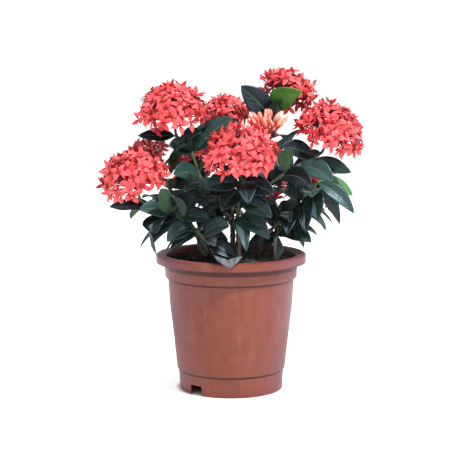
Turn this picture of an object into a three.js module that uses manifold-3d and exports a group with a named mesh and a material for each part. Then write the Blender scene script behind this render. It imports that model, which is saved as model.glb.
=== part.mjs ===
// A potted ixora: a plastic nursery pot filled with soil, seven rooted woody stems, the leafy
// green shoots that grow from them, and a flower head on each flowering shoot.
// Millimetres, +Z up. The origin is on the pot's axis, at the level of its foot, and the
// plant's best side faces -Y.

import * as THREE from 'three';
import { mergeVertices } from 'three/addons/utils/BufferGeometryUtils.js';
import Module from 'manifold-3d';

const wasm = await Module();
wasm.setup();

// ---------------------------------------------------------------- driving dimensions

const gap = 0.35; // left between neighbours that touch
const weld = 1e-4; // points nearer than this are one point
const flatness = 0.05; // joining may straighten an edge by this much
const pastFace = 2; // how far a cutter runs past the face that it cuts

const pot = {
  height: 182,
  facets: 32,
  rim: { radius: 100, depth: 11, wall: 2.4, lipInner: 88.4, corner: 1.6 },
  collar: { bottom: 151.6, bottomRadius: 88, topRadius: 89.2, shoulder: 2.6 },
  body: { topRadius: 84.3, bottomRadius: 72.4 },
  foot: { height: 27.2, topRadius: 70.2, bottomRadius: 68.8, draft: 0.5 },
  wall: 2.4,
  edge: 1, // softening of each edge and step
  floor: { top: 17.4, underside: 14.6, corner: 2.2 },
  notch: { width: 20, height: 13.2, corner: 2, depth: 7, angles: [228, 48] },
  drain: { radius: 6, ring: 40, count: 6, sides: 8 },
};

const soil = {
  top: 175,
  rings: [52],
  ripple: 0.85,
  waves: { across: [0.11, 0.05], along: [-0.04, 0.13] },
  edgeDrop: 2.5,
  facets: 16,
};

const rooted = { depth: 24, radius: 4.1, branchRadius: 2.9, sides: 5, steps: 4, branchSteps: 3 };
const greenStem = { radius: 2.2, sides: 4, steps: 6 };

// Blade: half-widths along the leaf, as shares of its greatest half-width
const blade = {
  thickness: 0.8,
  fold: 0.22,
  tiltOut: 0.3,
  stations: [0, 0.34, 0.7, 1],
  shares: [0, 0.93, 0.84, 0],
  sides: [[-1, 1], [-1, 0, 1], [-1, 0, 1], [0]],
  stalk: 1.3,
};

// Floret: its share of the dome's area, and its star's points, notches and shoulders
const floret = {
  area: 985,
  radius: 15.2,
  notchShare: 0.32,
  shoulderShare: 0.66,
  shoulderTurn: 29,
  shoulderLift: 0.2,
  recurve: 2.4,
  throat: 4.4,
  dimple: 0.8,
  tubeRadius: 1.3,
};
const bud = { count: 15, radius: 3, length: 17, widest: 0.62, sides: 4 };

// Core that the tubes grow out of: its size as a share of the head's, and its outline as shares
// of its own size
const core = {
  share: 0.52,
  budShare: 0.3,
  depth: 8,
  footRadius: 4,
  outline: [[0.85, 0.35], [0.6, 0.85], [0, 1]],
  sides: 6,
};

// Degrees from a head's crown to its edge florets and on to their petals, and how far the
// florets' reach varies
const dome = { spread: 90, petalReach: 12, ragged: 0.03 };
const approach = 16; // straight run of stem under a head

// Ways round a neighbour that are tried in turn: swing and lift in degrees, share of length
const detours = [
  [0, 0, 1], [0, 12, 1], [0, -14, 1], [16, 0, 1], [-16, 0, 1], [26, 12, 0.92], [-26, 12, 0.92],
  [26, -12, 0.92], [-26, -12, 0.92], [42, 0, 0.85], [-42, 0, 0.85], [0, 28, 0.8], [0, -30, 0.8],
];
const clearance = { blade: 5.5, head: 6, under: 4, wall: 8, beside: 5, overRim: 8, overSoil: 3 };
const samples = { path: 40, trunk: 10, blade: 10, across: [-1, -0.5, 0, 0.5, 1] };

// ---------------------------------------------------------------- the plant

// Each rooted stem runs up from the soil to the fork that its branches start from
const rootedStems = {
  left: [[-18, -6, 175], [-24, -9, 184], [-30, -10, 202]],
  front_left: [[-12, -46, 175], [-16, -50, 183], [-22, -53, 192]],
  centre: [[8, -26, 175], [10, -30, 188], [10, -35, 212]],
  right: [[36, -4, 175], [37, -5, 184], [40, -8, 202]],
  back: [[0, 30, 175], [2, 38, 188], [2, 44, 212]],
  back_left: [[-36, 22, 175], [-41, 27, 184], [-44, 31, 198]],
  back_right: [[44, 32, 175], [50, 35, 185], [56, 37, 196]],
};

// A shoot starts at its stem's fork, is woody for the first part of its way, and ends under
// its head. Places along it count the points of its path: 0 is the fork, 1 the first point
// of the path, and so on. Leaves set by hand have such a place, a tip and a width; pairs more
// grow by the rule in pairLeaves within reach, the first pair turned by phase degrees.
const shoots = [
  {
    name: 'upper_left', stem: 'left', woody: 0.8, pairs: 4, phase: 70, reach: [0.95, 2.7],
    path: [[-36, -10, 260], [-50, -6, 312], [-61, -1, 330]],
    head: { at: [-75, 2, 361], radius: 45, lean: [-0.12, -0.2, 0.97], spread: 86 },
    leaves: [
      { at: 4.03, tip: [-123, 3, 338], width: 22, roll: -46 },
      { at: 3.65, tip: [-39, -15, 344], width: 24, roll: 50 },
      { at: 2.07, tip: [3, 5, 362], width: 30, arch: 0.07, roll: 54 },
      { at: 2.3, tip: [-32, -30, 336], width: 24, arch: 0.06, roll: 65 },
      { at: 2.1, tip: [-80, -34, 328], width: 27, arch: 0.08, roll: -65 },
      { at: 1.4, tip: [-74, -50, 292], width: 28, arch: 0.1, roll: -65 },
      { at: 0.95, tip: [-53, -58, 256], width: 28, arch: 0.12, roll: -60 },
    ],
  },
  {
    name: 'far_left', stem: 'left', woody: 0.7, pairs: 2, phase: 20, reach: [1.1, 2.3],
    path: [[-58, -16, 222], [-86, -16, 240]],
    head: { at: [-124, -22, 275], radius: 45, lean: [-0.3, -0.25, 0.92], spread: 86 },
    leaves: [
      { at: 2.5, tip: [-162, 0, 244], width: 25, arch: 0.02, roll: -35 },
    ],
  },
  {
    name: 'back_left', stem: 'back_left', woody: 0.5, pairs: 3, phase: 10, reach: [0.8, 2.9],
    path: [[-66, 40, 236], [-84, 45, 264]],
    head: { at: [-109, 50, 306], radius: 30, lean: [-0.4, 0.1, 0.9] },
    leaves: [
      { at: 2.5, tip: [-90, 10, 306], width: 18, arch: 0.04, roll: 80 },
      { at: 1.96, tip: [-36, 35, 277], width: 28, arch: 0.09, roll: 50 },
    ],
  },
  {
    name: 'centre', stem: 'centre', woody: 0.4, pairs: 2, phase: 10, reach: [1, 1.9],
    path: [[9, -47, 245]],
    head: { at: [13, -72, 308], radius: 48, lean: [0, -0.34, 0.94], spread: 83 },
    leaves: [
      { at: 1.87, tip: [-33, -77, 276], width: 27, arch: 0.1, roll: -61 },
      { at: 1.6, tip: [-12, -92, 249], width: 28, arch: 0.12, roll: -40 },
      { at: 1.75, tip: [56, -84, 270], width: 27, arch: 0.1, roll: 60 },
      { at: 1.3, tip: [52, -88, 240], width: 25, arch: 0.1, roll: 55 },
      { at: 0.6, tip: [49, -90, 213], width: 27, arch: 0.14, roll: 50 },
      { at: 0.75, tip: [20, -86, 196], width: 20, arch: 0.16, roll: 10 },
    ],
  },
  {
    name: 'right', stem: 'right', woody: 0.8, pairs: 3, phase: 60, reach: [1, 2.6],
    path: [[36, -18, 240], [46, -26, 272], [88, -26, 300]],
    head: { at: [128, 4, 335], radius: 45, lean: [0.38, -0.26, 0.88] },
    leaves: [
      { at: 3.67, tip: [65, -31, 326], width: 26, arch: 0.06, roll: -70 },
      { at: 3.58, tip: [157, -29, 292], width: 22, roll: 55 },
      { at: 2.8, tip: [58, -26, 317], width: 26, roll: -72 },
      { at: 3, tip: [132, -56, 283], width: 28, arch: 0.12, roll: 50 },
      { at: 2.5, tip: [104, -64, 278], width: 28, arch: 0.12, roll: 50 },
      { at: 4.16, tip: [82, 31, 294], width: 26, arch: 0.03, roll: -35 },
    ],
  },
  {
    name: 'top', stem: 'right', woody: 0.5, pairs: 4, phase: 35, reach: [0.9, 2.5],
    path: [[42, 18, 262], [50, 24, 332]],
    head: { at: [72, 60, 384], radius: 40, lean: [0.4, 0.4, 0.82], spread: 80 },
    leaves: [
      { at: 2.65, tip: [13, 27, 403], width: 34, arch: 0.02, roll: -90 },
      { at: 3.1, tip: [94, -2, 395], via: [59, 12, 397], width: 32, roll: 130 },
    ],
  },
  {
    name: 'behind_middle', stem: 'back', woody: 0.4, pairs: 4, phase: 0, reach: [0.6, 1.95],
    path: [[0, 52, 270]],
    head: { at: [-9, 64, 352], radius: 36, lean: [-0.1, 0.2, 0.95] },
  },
  {
    name: 'budding', stem: 'centre', woody: 0.6, pairs: 2, phase: 80, reach: [1, 1.8],
    path: [[26, -22, 255], [40, -12, 296]],
    head: { at: [48, -10, 330], radius: 46, lean: [-0.05, -0.2, 1], spread: 44, buds: true },
    leaves: [
      { at: 2.59, tip: [91, 27, 345], width: 21, arch: 0.02, roll: 3 },
    ],
  },
  {
    name: 'back_right', stem: 'back_right', woody: 0.4, pairs: 4, phase: 15, reach: [0.6, 1.95],
    path: [[80, 46, 222]],
    head: { at: [112, 70, 258], radius: 34, lean: [0.5, 0.5, 0.7] },
    leaves: [
      { at: 1.25, tip: [63, 17, 240], width: 28, arch: 0.03, roll: -60 },
    ],
  },
  {
    name: 'behind_left', stem: 'back', woody: 0.4, pairs: 4, phase: 50, reach: [0.6, 1.95],
    path: [[-18, 64, 240]],
    head: { at: [-46, 84, 290], radius: 36, lean: [-0.25, 0.6, 0.75] },
  },
  {
    name: 'behind_right', stem: 'back', woody: 0.5, pairs: 4, phase: 15, reach: [0.7, 1.95],
    path: [[22, 60, 230]],
    head: { at: [46, 83, 266], radius: 36, lean: [0.25, 0.65, 0.7] },
  },
  {
    name: 'low_left', stem: 'front_left', woody: 0.35, pairs: 2, phase: 0, reach: [1.3, 2.3],
    path: [[-37, -54, 212], [-56, -42, 228], [-74, -30, 240]],
    leaves: [
      { at: 2.98, tip: [-90, -86, 276], width: 27, roll: 72 },
      { at: 2.98, tip: [-118, -60, 247], width: 26, arch: 0.06, roll: -60 },
      { at: 2.7, tip: [-106, -34, 229], width: 22, arch: 0.06, roll: -55 },
      { at: 2.67, tip: [-27, -53, 234], width: 28, arch: 0.04, roll: 38 },
      { at: 2.8, tip: [-96, -66, 190], via: [-122, -56, 236], width: 25, roll: -30 },
      { at: 1.7, tip: [-82, -70, 207], width: 26, arch: 0.12, roll: -50 },
      { at: 1, tip: [-2, -88, 229], width: 27, arch: 0.12, roll: 65 },
      { at: 0.6, tip: [-20, -82, 203], width: 16, arch: 0.18, roll: 35 },
      { at: 0.81, tip: [9, -63, 184], width: 24, arch: 0.02, roll: 50 },
      { at: 1.26, tip: [-80, -41, 193], width: 26, arch: 0.03, roll: -35 },
      { at: 0.87, tip: [-4, -19, 203], width: 28, arch: 0.05, roll: 50 },
      { at: 1.33, tip: [-28, -23, 184], width: 26, arch: 0.03, roll: 80 },
    ],
  },
  {
    name: 'low_right', stem: 'right', woody: 0.6, pairs: 3, phase: 75, reach: [0.9, 2.2],
    path: [[70, -22, 232], [98, -24, 256], [112, -22, 278]],
    leaves: [
      { at: 2.98, tip: [161, -10, 260], width: 24, arch: 0.1, roll: 60 },
      { at: 2.98, tip: [161, -34, 239], width: 22, arch: 0.12, roll: 55 },
      { at: 2.8, tip: [144, -12, 222], width: 27, arch: 0.18, roll: 60 },
      { at: 2.3, tip: [112, -54, 232], width: 29, arch: 0.16, roll: 30 },
      { at: 1.8, tip: [96, -62, 218], width: 27, arch: 0.18, roll: 20 },
      { at: 1.3, tip: [72, -70, 216], width: 25, arch: 0.16, roll: 5 },
    ],
  },
  {
    name: 'rim_right', stem: 'right', woody: 0.6, pairs: 0, phase: 0, reach: [0, 0],
    path: [[56, 2, 205], [68, 4, 206]],
    leaves: [
      { at: 1.95, tip: [106, -22, 199], width: 25, arch: 0.14, roll: 45 },
      { at: 1.95, tip: [110, 12, 212], width: 20, arch: 0.12, roll: 40 },
      { at: 1.4, tip: [84, -46, 206], width: 22, arch: 0.14, roll: 40 },
      { at: 1.53, tip: [57, -44, 179], width: 24, arch: 0.02, roll: -60 },
      { at: 1.5, tip: [22, 22, 187], width: 28, arch: 0.05, roll: -50 },
    ],
  },
  {
    name: 'low_back_left', stem: 'back_left', woody: 0.5, pairs: 3, phase: 65, reach: [0.78, 1.95],
    path: [[-64, 42, 214], [-88, 54, 228]],
    leaves: [
      { at: 0.8, tip: [-76, 12, 204], width: 24, arch: 0.12, roll: -50 },
      { at: 1.57, tip: [-44, -12, 241], width: 23, arch: 0.04, roll: 77 },
      { at: 1.78, tip: [-70, 14, 250], width: 26, arch: 0.1, roll: 90 },
    ],
  },
  {
    name: 'low_back_right', stem: 'back_right', woody: 0.4, pairs: 3, phase: 20, reach: [0.6, 1.95],
    path: [[66, 58, 214], [78, 80, 230]],
    leaves: [
      { at: 0.8, tip: [34, 20, 232], width: 26, arch: 0.06, roll: -60 },
      { at: 1.32, tip: [100, 55, 213], width: 25, arch: 0.15, roll: 72 },
      { at: 1.4, tip: [38, 56, 222], width: 26, arch: 0.04, roll: -60 },
      { at: 1.44, tip: [106, 65, 238], width: 25, arch: 0.02, roll: 69 },
    ],
  },
  {
    name: 'low_back', stem: 'back', woody: 0.4, pairs: 3, phase: 40, reach: [0.78, 1.95],
    path: [[-6, 66, 222], [-12, 84, 232]],
    leaves: [
      { at: 0.7, tip: [-39, 38, 204], width: 25, arch: 0.05, roll: -52 },
      { at: 1.2, tip: [-53, 55, 221], width: 26, arch: 0.04, roll: -61 },
      { at: 1.43, tip: [21, 61, 249], width: 25, arch: 0.01, roll: 71 },
      { at: 1.8, tip: [-54, 60, 250], width: 27, arch: 0.04, roll: -60 },
    ],
  },
];

const fallenLeaf = {
  root: [-6, -64, 175.1], via: [-3, -98, 197.2], tip: [-2, -106, 178], width: 37,
};

// Rule for the leaf pairs that are not set by hand
const pairRule = {
  seed: 20261,
  length: [46, 62],
  widthShare: [0.45, 0.53],
  angle: [54, 74],
  droop: [0.05, 0.3],
  arch: [0.12, 0.22],
  roll: 14,
  wander: 12,
};

// ---------------------------------------------------------------- small maths

const up = new THREE.Vector3(0, 0, 1);
const radians = THREE.MathUtils.degToRad;
const vector = (place) => new THREE.Vector3(...place);
const mix = (range, share) => range[0] + (range[1] - range[0]) * share;

// Park-Miller generator: the same draws on any machine
function generator(seed) {
  const modulus = 2147483647;
  const multiplier = 16807;
  let state = seed;
  return () => {
    state = (state * multiplier) % modulus;
    return state / modulus;
  };
}

// ---------------------------------------------------------------- solids

// A closed mesh with shared vertices and no collapsed triangles becomes a solid
function solidOf(geometry) {
  const bare = geometry.clone();
  for (const name of Object.keys(bare.attributes)) {
    if (name !== 'position') bare.deleteAttribute(name);
  }
  const merged = mergeVertices(bare, weld);
  const corners = merged.index.array;
  const kept = [];
  for (let i = 0; i < corners.length; i += 3) {
    const [a, b, c] = [corners[i], corners[i + 1], corners[i + 2]];
    if (a !== b && b !== c && c !== a) kept.push(a, b, c);
  }
  return new wasm.Manifold(new wasm.Mesh({
    numProp: 3,
    vertProperties: merged.attributes.position.array,
    triVerts: new Uint32Array(kept),
  }));
}

// Joined pieces as one body: a scrap, a hollow or a hair-thin face that joining leaves is dropped
function fused(solids) {
  const joined = solids.reduce((sum, next) => sum.add(next));
  const whole = joined.asOriginal().simplify(flatness);
  return whole.decompose().reduce((best, body) => (body.volume() > best.volume() ? body : best));
}

function geometryOf(solid) {
  const mesh = solid.getMesh();
  const geometry = new THREE.BufferGeometry();
  geometry.setAttribute('position', new THREE.BufferAttribute(mesh.vertProperties, 3));
  geometry.setIndex(new THREE.BufferAttribute(mesh.triVerts, 1));
  geometry.computeVertexNormals();
  return geometry;
}

const turned = (profile, sides) => solidOf(
  new THREE.LatheGeometry(profile.map(([r, z]) => new THREE.Vector2(r, z)), sides)
    .rotateX(Math.PI / 2),
);

function ringShape(radius, sides) {
  const corners = [];
  for (let i = 0; i < sides; i += 1) {
    const angle = (i / sides) * 2 * Math.PI;
    corners.push(new THREE.Vector2(radius * Math.cos(angle), radius * Math.sin(angle)));
  }
  return new THREE.Shape(corners);
}

const tube = (path, radius, sides, steps) => solidOf(
  new THREE.ExtrudeGeometry(ringShape(radius, sides), { steps, extrudePath: path }),
);

// Part of a path, from one share of it to another
class Stretch extends THREE.Curve {
  constructor(path, from, to) {
    super();
    Object.assign(this, { path, from, to });
  }

  getPoint(share, target = new THREE.Vector3()) {
    return this.path.getPoint(mix([this.from, this.to], share), target);
  }
}

// ---------------------------------------------------------------- pot and soil

// The inside of the wall from the floor up, moved inwards by inset
function insideProfile(inset) {
  const { collar, body, wall, edge, floor } = pot;
  const bottom = body.bottomRadius - wall - inset;
  return [
    [bottom - floor.corner, floor.top + inset],
    [bottom, floor.top + floor.corner + inset],
    [body.topRadius - wall - inset, collar.bottom - collar.shoulder - 2 * edge],
    [collar.bottomRadius - wall - inset, collar.bottom + 2 * edge],
  ];
}

function potProfile() {
  const { rim, collar, body, foot, wall, edge, floor } = pot;
  const footInside = foot.bottomRadius - wall;
  const rimInside = rim.radius - rim.wall;
  const rimBottom = pot.height - rim.depth;
  const lipUnder = pot.height - rim.wall;
  return [
    [0, floor.underside],
    [footInside, floor.underside],
    [footInside - foot.draft, 0],
    [foot.bottomRadius - edge, 0],
    [foot.bottomRadius, edge],
    [foot.topRadius, foot.height - edge],
    [body.bottomRadius, foot.height + edge],
    [body.topRadius, collar.bottom - collar.shoulder],
    [collar.bottomRadius, collar.bottom + edge],
    [collar.topRadius, lipUnder],
    [rimInside, lipUnder],
    [rimInside, rimBottom],
    [rim.radius - edge, rimBottom],
    [rim.radius, rimBottom + edge],
    [rim.radius, pot.height - rim.corner],
    [rim.radius - rim.corner, pot.height],
    [rim.lipInner, pot.height],
    [collar.topRadius - wall, pot.height - 2 * edge],
    ...insideProfile(0).reverse(),
    [0, floor.top],
  ];
}

function notchCutter(angle) {
  const { width, height, corner, depth } = pot.notch;
  const half = width / 2;
  const outline = new THREE.Shape([
    [-half, -pastFace], [half, -pastFace], [half, height - corner], [half - corner, height],
    [corner - half, height], [-half, height - corner],
  ].map(([x, z]) => new THREE.Vector2(x, z)));
  const block = new THREE.ExtrudeGeometry(outline, {
    depth: depth + pastFace, bevelEnabled: false,
  });
  block.rotateX(Math.PI / 2).translate(0, depth - pot.foot.bottomRadius, 0);
  return solidOf(block.rotateZ(radians(angle + 90)));
}

function drainCutters() {
  const { radius, ring, count, sides } = pot.drain;
  const { top, underside } = pot.floor;
  const places = [[0, 0]];
  for (let i = 0; i < count; i += 1) {
    const angle = (i / count) * 2 * Math.PI;
    places.push([ring * Math.cos(angle), ring * Math.sin(angle)]);
  }
  return places.map(([x, y]) => solidOf(
    new THREE.CylinderGeometry(radius, radius, top - underside + 2 * pastFace, sides)
      .rotateX(Math.PI / 2)
      .translate(x, y, (top + underside) / 2),
  ));
}

function potSolid() {
  const cutters = [...pot.notch.angles.map(notchCutter), ...drainCutters()];
  return cutters.reduce((sum, cutter) => sum.subtract(cutter), turned(potProfile(), pot.facets));
}

// The soil's surface as a formula of place: low ripples, falling a little towards the wall
function soilHeight(x, y) {
  const { across, along } = soil.waves;
  const far = Math.hypot(x, y) / pot.body.topRadius;
  const waves = Math.sin(x * across[0] + y * across[1]) + Math.cos(x * along[0] + y * along[1]);
  return soil.top + soil.ripple * waves - soil.edgeDrop * far ** 3;
}

function soilSolid(stemHoles) {
  const sides = insideProfile(gap);
  const edge = sides.at(-1)[0];
  const profile = [
    [0, sides[0][1]],
    ...sides,
    ...[edge, ...soil.rings, 0].map((radius) => [radius, soil.top]),
  ];
  const lathe = new THREE.LatheGeometry(
    profile.map(([r, z]) => new THREE.Vector2(r, z)),
    soil.facets,
  ).rotateX(Math.PI / 2);
  const places = lathe.attributes.position;
  for (let i = 0; i < places.count; i += 1) {
    if (places.getZ(i) > soil.top - weld) {
      places.setZ(i, soilHeight(places.getX(i), places.getY(i)));
    }
  }
  return stemHoles.reduce((sum, hole) => sum.subtract(hole), solidOf(lathe));
}

// ---------------------------------------------------------------- stems

function trunkPath(places, below) {
  const [foot, ...rest] = places;
  const base = [foot[0], foot[1], soil.top - rooted.depth - below];
  return new THREE.CatmullRomCurve3([base, foot, ...rest].map(vector), false, 'catmullrom', 0.5);
}

// The hole is wider by a little more than the gap, because its flat sides lie nearer the middle
const stemHole = (places) => tube(
  trunkPath(places, gap),
  rooted.radius + gap / Math.cos(Math.PI / rooted.sides),
  rooted.sides,
  rooted.steps,
);

const headAxis = (head) => vector(head.lean).normalize();
const coreRadius = (head) => (head.buds ? core.budShare : core.share) * head.radius;

const belowHead = (head, far) => vector(head.at)
  .addScaledVector(headAxis(head), -core.depth - gap - far);

function shootPath(shoot) {
  const fork = rootedStems[shoot.stem].at(-1);
  const places = [fork, ...shoot.path].map(vector);
  if (shoot.head) places.push(belowHead(shoot.head, approach), belowHead(shoot.head, 0));
  return new THREE.CatmullRomCurve3(places, false, 'catmullrom', 0.5);
}

// A place counted in points of the path, as the curve's own share
const shareOf = (path, place) => place / (path.points.length - 1);

function woodSolid(stemName) {
  const branches = shoots.filter((shoot) => shoot.stem === stemName).map((shoot) => {
    const path = shootPath(shoot);
    const woody = new Stretch(path, 0, shareOf(path, shoot.woody));
    return tube(woody, rooted.branchRadius, rooted.sides, rooted.branchSteps);
  });
  const trunk = tube(
    trunkPath(rootedStems[stemName], 0), rooted.radius, rooted.sides, rooted.steps,
  );
  return fused([trunk, ...branches]);
}

// ---------------------------------------------------------------- leaves

// The leaf's middle line is a quadratic curve from root to tip. It gives, at a share of the
// length, a point, the direction along the blade, the one across it and the one out of it.
function bladeFrame(leaf, share) {
  const rest = 1 - share;
  const point = leaf.root.clone().multiplyScalar(rest * rest)
    .addScaledVector(leaf.via, 2 * rest * share)
    .addScaledVector(leaf.tip, share * share);
  const along = leaf.via.clone().sub(leaf.root).multiplyScalar(rest)
    .addScaledVector(leaf.tip.clone().sub(leaf.via), share)
    .normalize();
  const outward = leaf.tip.clone().sub(leaf.root).setZ(0).normalize();
  const facing = up.clone().addScaledVector(outward, -blade.tiltOut);
  const across = along.clone().cross(facing).normalize().applyAxisAngle(along, leaf.roll);
  const out = across.clone().cross(along);
  return { point, along, across, out };
}

function bladePoint(leaf, share, side, halfWidth) {
  const { point, across, out } = bladeFrame(leaf, share);
  return point
    .addScaledVector(across, side * halfWidth)
    .addScaledVector(out, Math.abs(side) * halfWidth * blade.fold);
}

// Numbers of a row's points, and the triangles that fill the strip between two rows
const numbered = (start, count) => Array.from({ length: count }, (_, i) => start + i);

function strip(near, far) {
  const faces = [];
  let [i, j] = [0, 0];
  while (i < near.length - 1 || j < far.length - 1) {
    const nextNear = i < near.length - 1 ? (i + 1) / (near.length - 1) : Infinity;
    const nextFar = j < far.length - 1 ? (j + 1) / (far.length - 1) : Infinity;
    if (nextNear <= nextFar) {
      faces.push([near[i], near[i + 1], far[j]]);
      i += 1;
    } else {
      faces.push([near[i], far[j + 1], far[j]]);
      j += 1;
    }
  }
  return faces;
}

function meshOf(points, faces) {
  const geometry = new THREE.BufferGeometry();
  geometry.setAttribute('position', new THREE.Float32BufferAttribute(points.flat(), 3));
  geometry.setIndex(faces.flat());
  return geometry;
}

// Rows of points from the stalk to the tip, as the upper and the lower face of the blade
function bladeSolid(leaf) {
  const upper = [];
  const lower = [];
  const rows = [];
  blade.stations.forEach((share, row) => {
    const halfWidth = Math.max((blade.shares[row] * leaf.width) / 2, blade.stalk);
    const { out } = bladeFrame(leaf, share);
    rows.push(numbered(upper.length, blade.sides[row].length));
    for (const side of blade.sides[row]) {
      const place = bladePoint(leaf, share, side, halfWidth);
      upper.push(place.clone().addScaledVector(out, blade.thickness / 2).toArray());
      lower.push(place.clone().addScaledVector(out, -blade.thickness / 2).toArray());
    }
  });
  const under = upper.length;
  const faces = [];
  for (let row = 1; row < rows.length; row += 1) {
    for (const [a, b, c] of strip(rows[row - 1], rows[row])) {
      faces.push([a, b, c], [under + c, under + b, under + a]);
    }
  }
  const right = rows.slice(1).map((row) => row.at(-1));
  const left = rows.slice(1, -1).map((row) => row[0]).reverse();
  const outline = [...rows[0], ...right, ...left];
  outline.forEach((a, i) => {
    const b = outline[(i + 1) % outline.length];
    faces.push([b, a, under + a], [b, under + a, under + b]);
  });
  return solidOf(meshOf([...upper, ...lower], faces));
}

// A leaf by its root, its tip and how high its middle stands above the straight line
function leafTo(root, tip, { width, arch = 0, via, roll = 0 }) {
  const length = tip.distanceTo(root);
  const middle = via
    ? vector(via)
    : root.clone().add(tip).multiplyScalar(0.5).addScaledVector(up, 2 * arch * length);
  return { root, tip, via: middle, width, roll: radians(roll) };
}

// The same leaf swung about the vertical, lifted and shortened
function redirected(leaf, [swing, lift, share]) {
  if (swing === 0 && lift === 0 && share === 1) return leaf;
  const turn = (place) => {
    const way = place.clone().sub(leaf.root);
    const flat = Math.hypot(way.x, way.y);
    const heading = Math.atan2(way.y, way.x) + radians(swing);
    const height = Math.atan2(way.z, flat) + radians(lift);
    const length = way.length() * share;
    return new THREE.Vector3(
      Math.cos(heading) * Math.cos(height),
      Math.sin(heading) * Math.cos(height),
      Math.sin(height),
    ).multiplyScalar(length).add(leaf.root);
  };
  return { ...leaf, tip: turn(leaf.tip), via: turn(leaf.via), width: leaf.width * share };
}

function pairLeaves(shoot, path, random) {
  const leaves = [];
  for (let pair = 0; pair < shoot.pairs; pair += 1) {
    const share = shoot.pairs > 1 ? pair / (shoot.pairs - 1) : 0.5;
    const at = shareOf(path, mix(shoot.reach, share));
    const root = path.getPoint(at);
    const along = path.getTangent(at);
    const sideways = new THREE.Vector3(1, 0, 0).addScaledVector(along, -along.x).normalize();
    const beside = along.clone().cross(sideways);
    for (let half = 0; half < 2; half += 1) {
      const wander = (random() - 0.5) * 2 * pairRule.wander;
      const turn = radians(shoot.phase + 90 * pair + 180 * half + wander);
      const angle = radians(mix(pairRule.angle, random()));
      const length = mix(pairRule.length, random());
      const width = length * mix(pairRule.widthShare, random());
      const droop = mix(pairRule.droop, random());
      const arch = mix(pairRule.arch, random());
      const roll = (random() - 0.5) * 2 * pairRule.roll;
      const tip = root.clone()
        .addScaledVector(along, length * Math.cos(angle))
        .addScaledVector(sideways, length * Math.sin(angle) * Math.cos(turn))
        .addScaledVector(beside, length * Math.sin(angle) * Math.sin(turn))
        .addScaledVector(up, -droop * length);
      leaves.push(leafTo(root, tip, { width, arch, roll }));
    }
  }
  return leaves;
}

// Points all over a blade from its stalk on, close enough that nothing slips between them
function bladeSamples(leaf) {
  const points = [];
  for (let i = 2; i <= samples.blade; i += 1) {
    const share = i / samples.blade;
    const halfWidth = (leaf.width / 2) * Math.sin(Math.PI * share) ** 0.7;
    for (const side of samples.across) points.push(bladePoint(leaf, share, side, halfWidth));
  }
  return points;
}

function insideHead(point, head) {
  const way = point.clone().sub(vector(head.at));
  const distance = way.length();
  if (distance > head.radius + clearance.head) return false;
  const spread = radians((head.spread ?? dome.spread) + dome.petalReach);
  const height = way.dot(headAxis(head));
  const inCore = distance < coreRadius(head) + core.depth && height > -core.depth - clearance.under;
  return way.angleTo(headAxis(head)) < spread || inCore;
}

function againstPot(point) {
  const far = Math.hypot(point.x, point.y);
  const inside = far < pot.collar.bottomRadius - clearance.wall;
  if (inside) return point.z < soil.top + clearance.overSoil;
  return far < pot.rim.radius + clearance.beside && point.z < pot.height + clearance.overRim;
}

function isClear(points, owner, taken) {
  const near = clearance.blade ** 2;
  for (const point of points) {
    if (againstPot(point)) return false;
    if (shoots.some((shoot) => shoot.head && insideHead(point, shoot.head))) return false;
    for (const other of taken) {
      if (other.owner !== owner && other.point.distanceToSquared(point) < near) return false;
    }
  }
  return true;
}

// Every leaf of the plant, those set by hand first, each bent clear of its neighbours
function growLeaves() {
  const random = generator(pairRule.seed);
  const paths = new Map(shoots.map((shoot) => [shoot.name, shootPath(shoot)]));
  const taken = [];
  for (const shoot of shoots) {
    const path = paths.get(shoot.name);
    for (let i = 0; i <= samples.path; i += 1) {
      const share = i / samples.path;
      const owner = share < shareOf(path, shoot.woody) ? 'wood' : shoot.name;
      taken.push({ point: path.getPoint(share), owner });
    }
  }
  for (const places of Object.values(rootedStems)) {
    const path = trunkPath(places, 0);
    for (let i = 0; i <= samples.trunk; i += 1) {
      taken.push({ point: path.getPoint(i / samples.trunk), owner: 'wood' });
    }
  }
  const fallen = leafTo(vector(fallenLeaf.root), vector(fallenLeaf.tip), fallenLeaf);
  for (const point of bladeSamples(fallen)) taken.push({ point, owner: 'fallen' });

  const grown = new Map(shoots.map((shoot) => [shoot.name, []]));
  const place = (shoot, leaf) => {
    const others = taken.filter((entry) => entry.owner !== shoot.name);
    for (const detour of detours) {
      const tried = redirected(leaf, detour);
      const points = bladeSamples(tried);
      if (isClear(points, shoot.name, others)) {
        grown.get(shoot.name).push(tried);
        for (const point of points) taken.push({ point, owner: shoot.name });
        return;
      }
    }
  };
  for (const shoot of shoots) {
    const path = paths.get(shoot.name);
    for (const leaf of shoot.leaves ?? []) {
      place(shoot, leafTo(path.getPoint(shareOf(path, leaf.at)), vector(leaf.tip), leaf));
    }
  }
  for (const shoot of shoots) {
    for (const leaf of pairLeaves(shoot, paths.get(shoot.name), random)) place(shoot, leaf);
  }
  return { grown, fallen };
}

function shootSolid(shoot, leaves) {
  const path = shootPath(shoot);
  const start = shareOf(path, shoot.woody) + gap / path.getLength();
  return fused([
    tube(new Stretch(path, start, 1), greenStem.radius, greenStem.sides, greenStem.steps),
    ...leaves.map(bladeSolid),
  ]);
}

// ---------------------------------------------------------------- flower heads

// Even directions over the head's dome, from its crown to its edge
function domeDirections(head, count) {
  const axis = headAxis(head);
  const turn = new THREE.Quaternion().setFromUnitVectors(up, axis);
  const edge = Math.cos(radians(head.spread ?? dome.spread));
  const golden = Math.PI * (3 - Math.sqrt(5));
  const directions = [];
  for (let i = 0; i < count; i += 1) {
    const height = 1 - ((i + 0.5) / count) * (1 - edge);
    const flat = Math.sqrt(1 - height * height);
    const way = new THREE.Vector3(flat * Math.cos(i * golden), flat * Math.sin(i * golden), height);
    directions.push(way.applyQuaternion(turn));
  }
  return directions;
}

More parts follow.
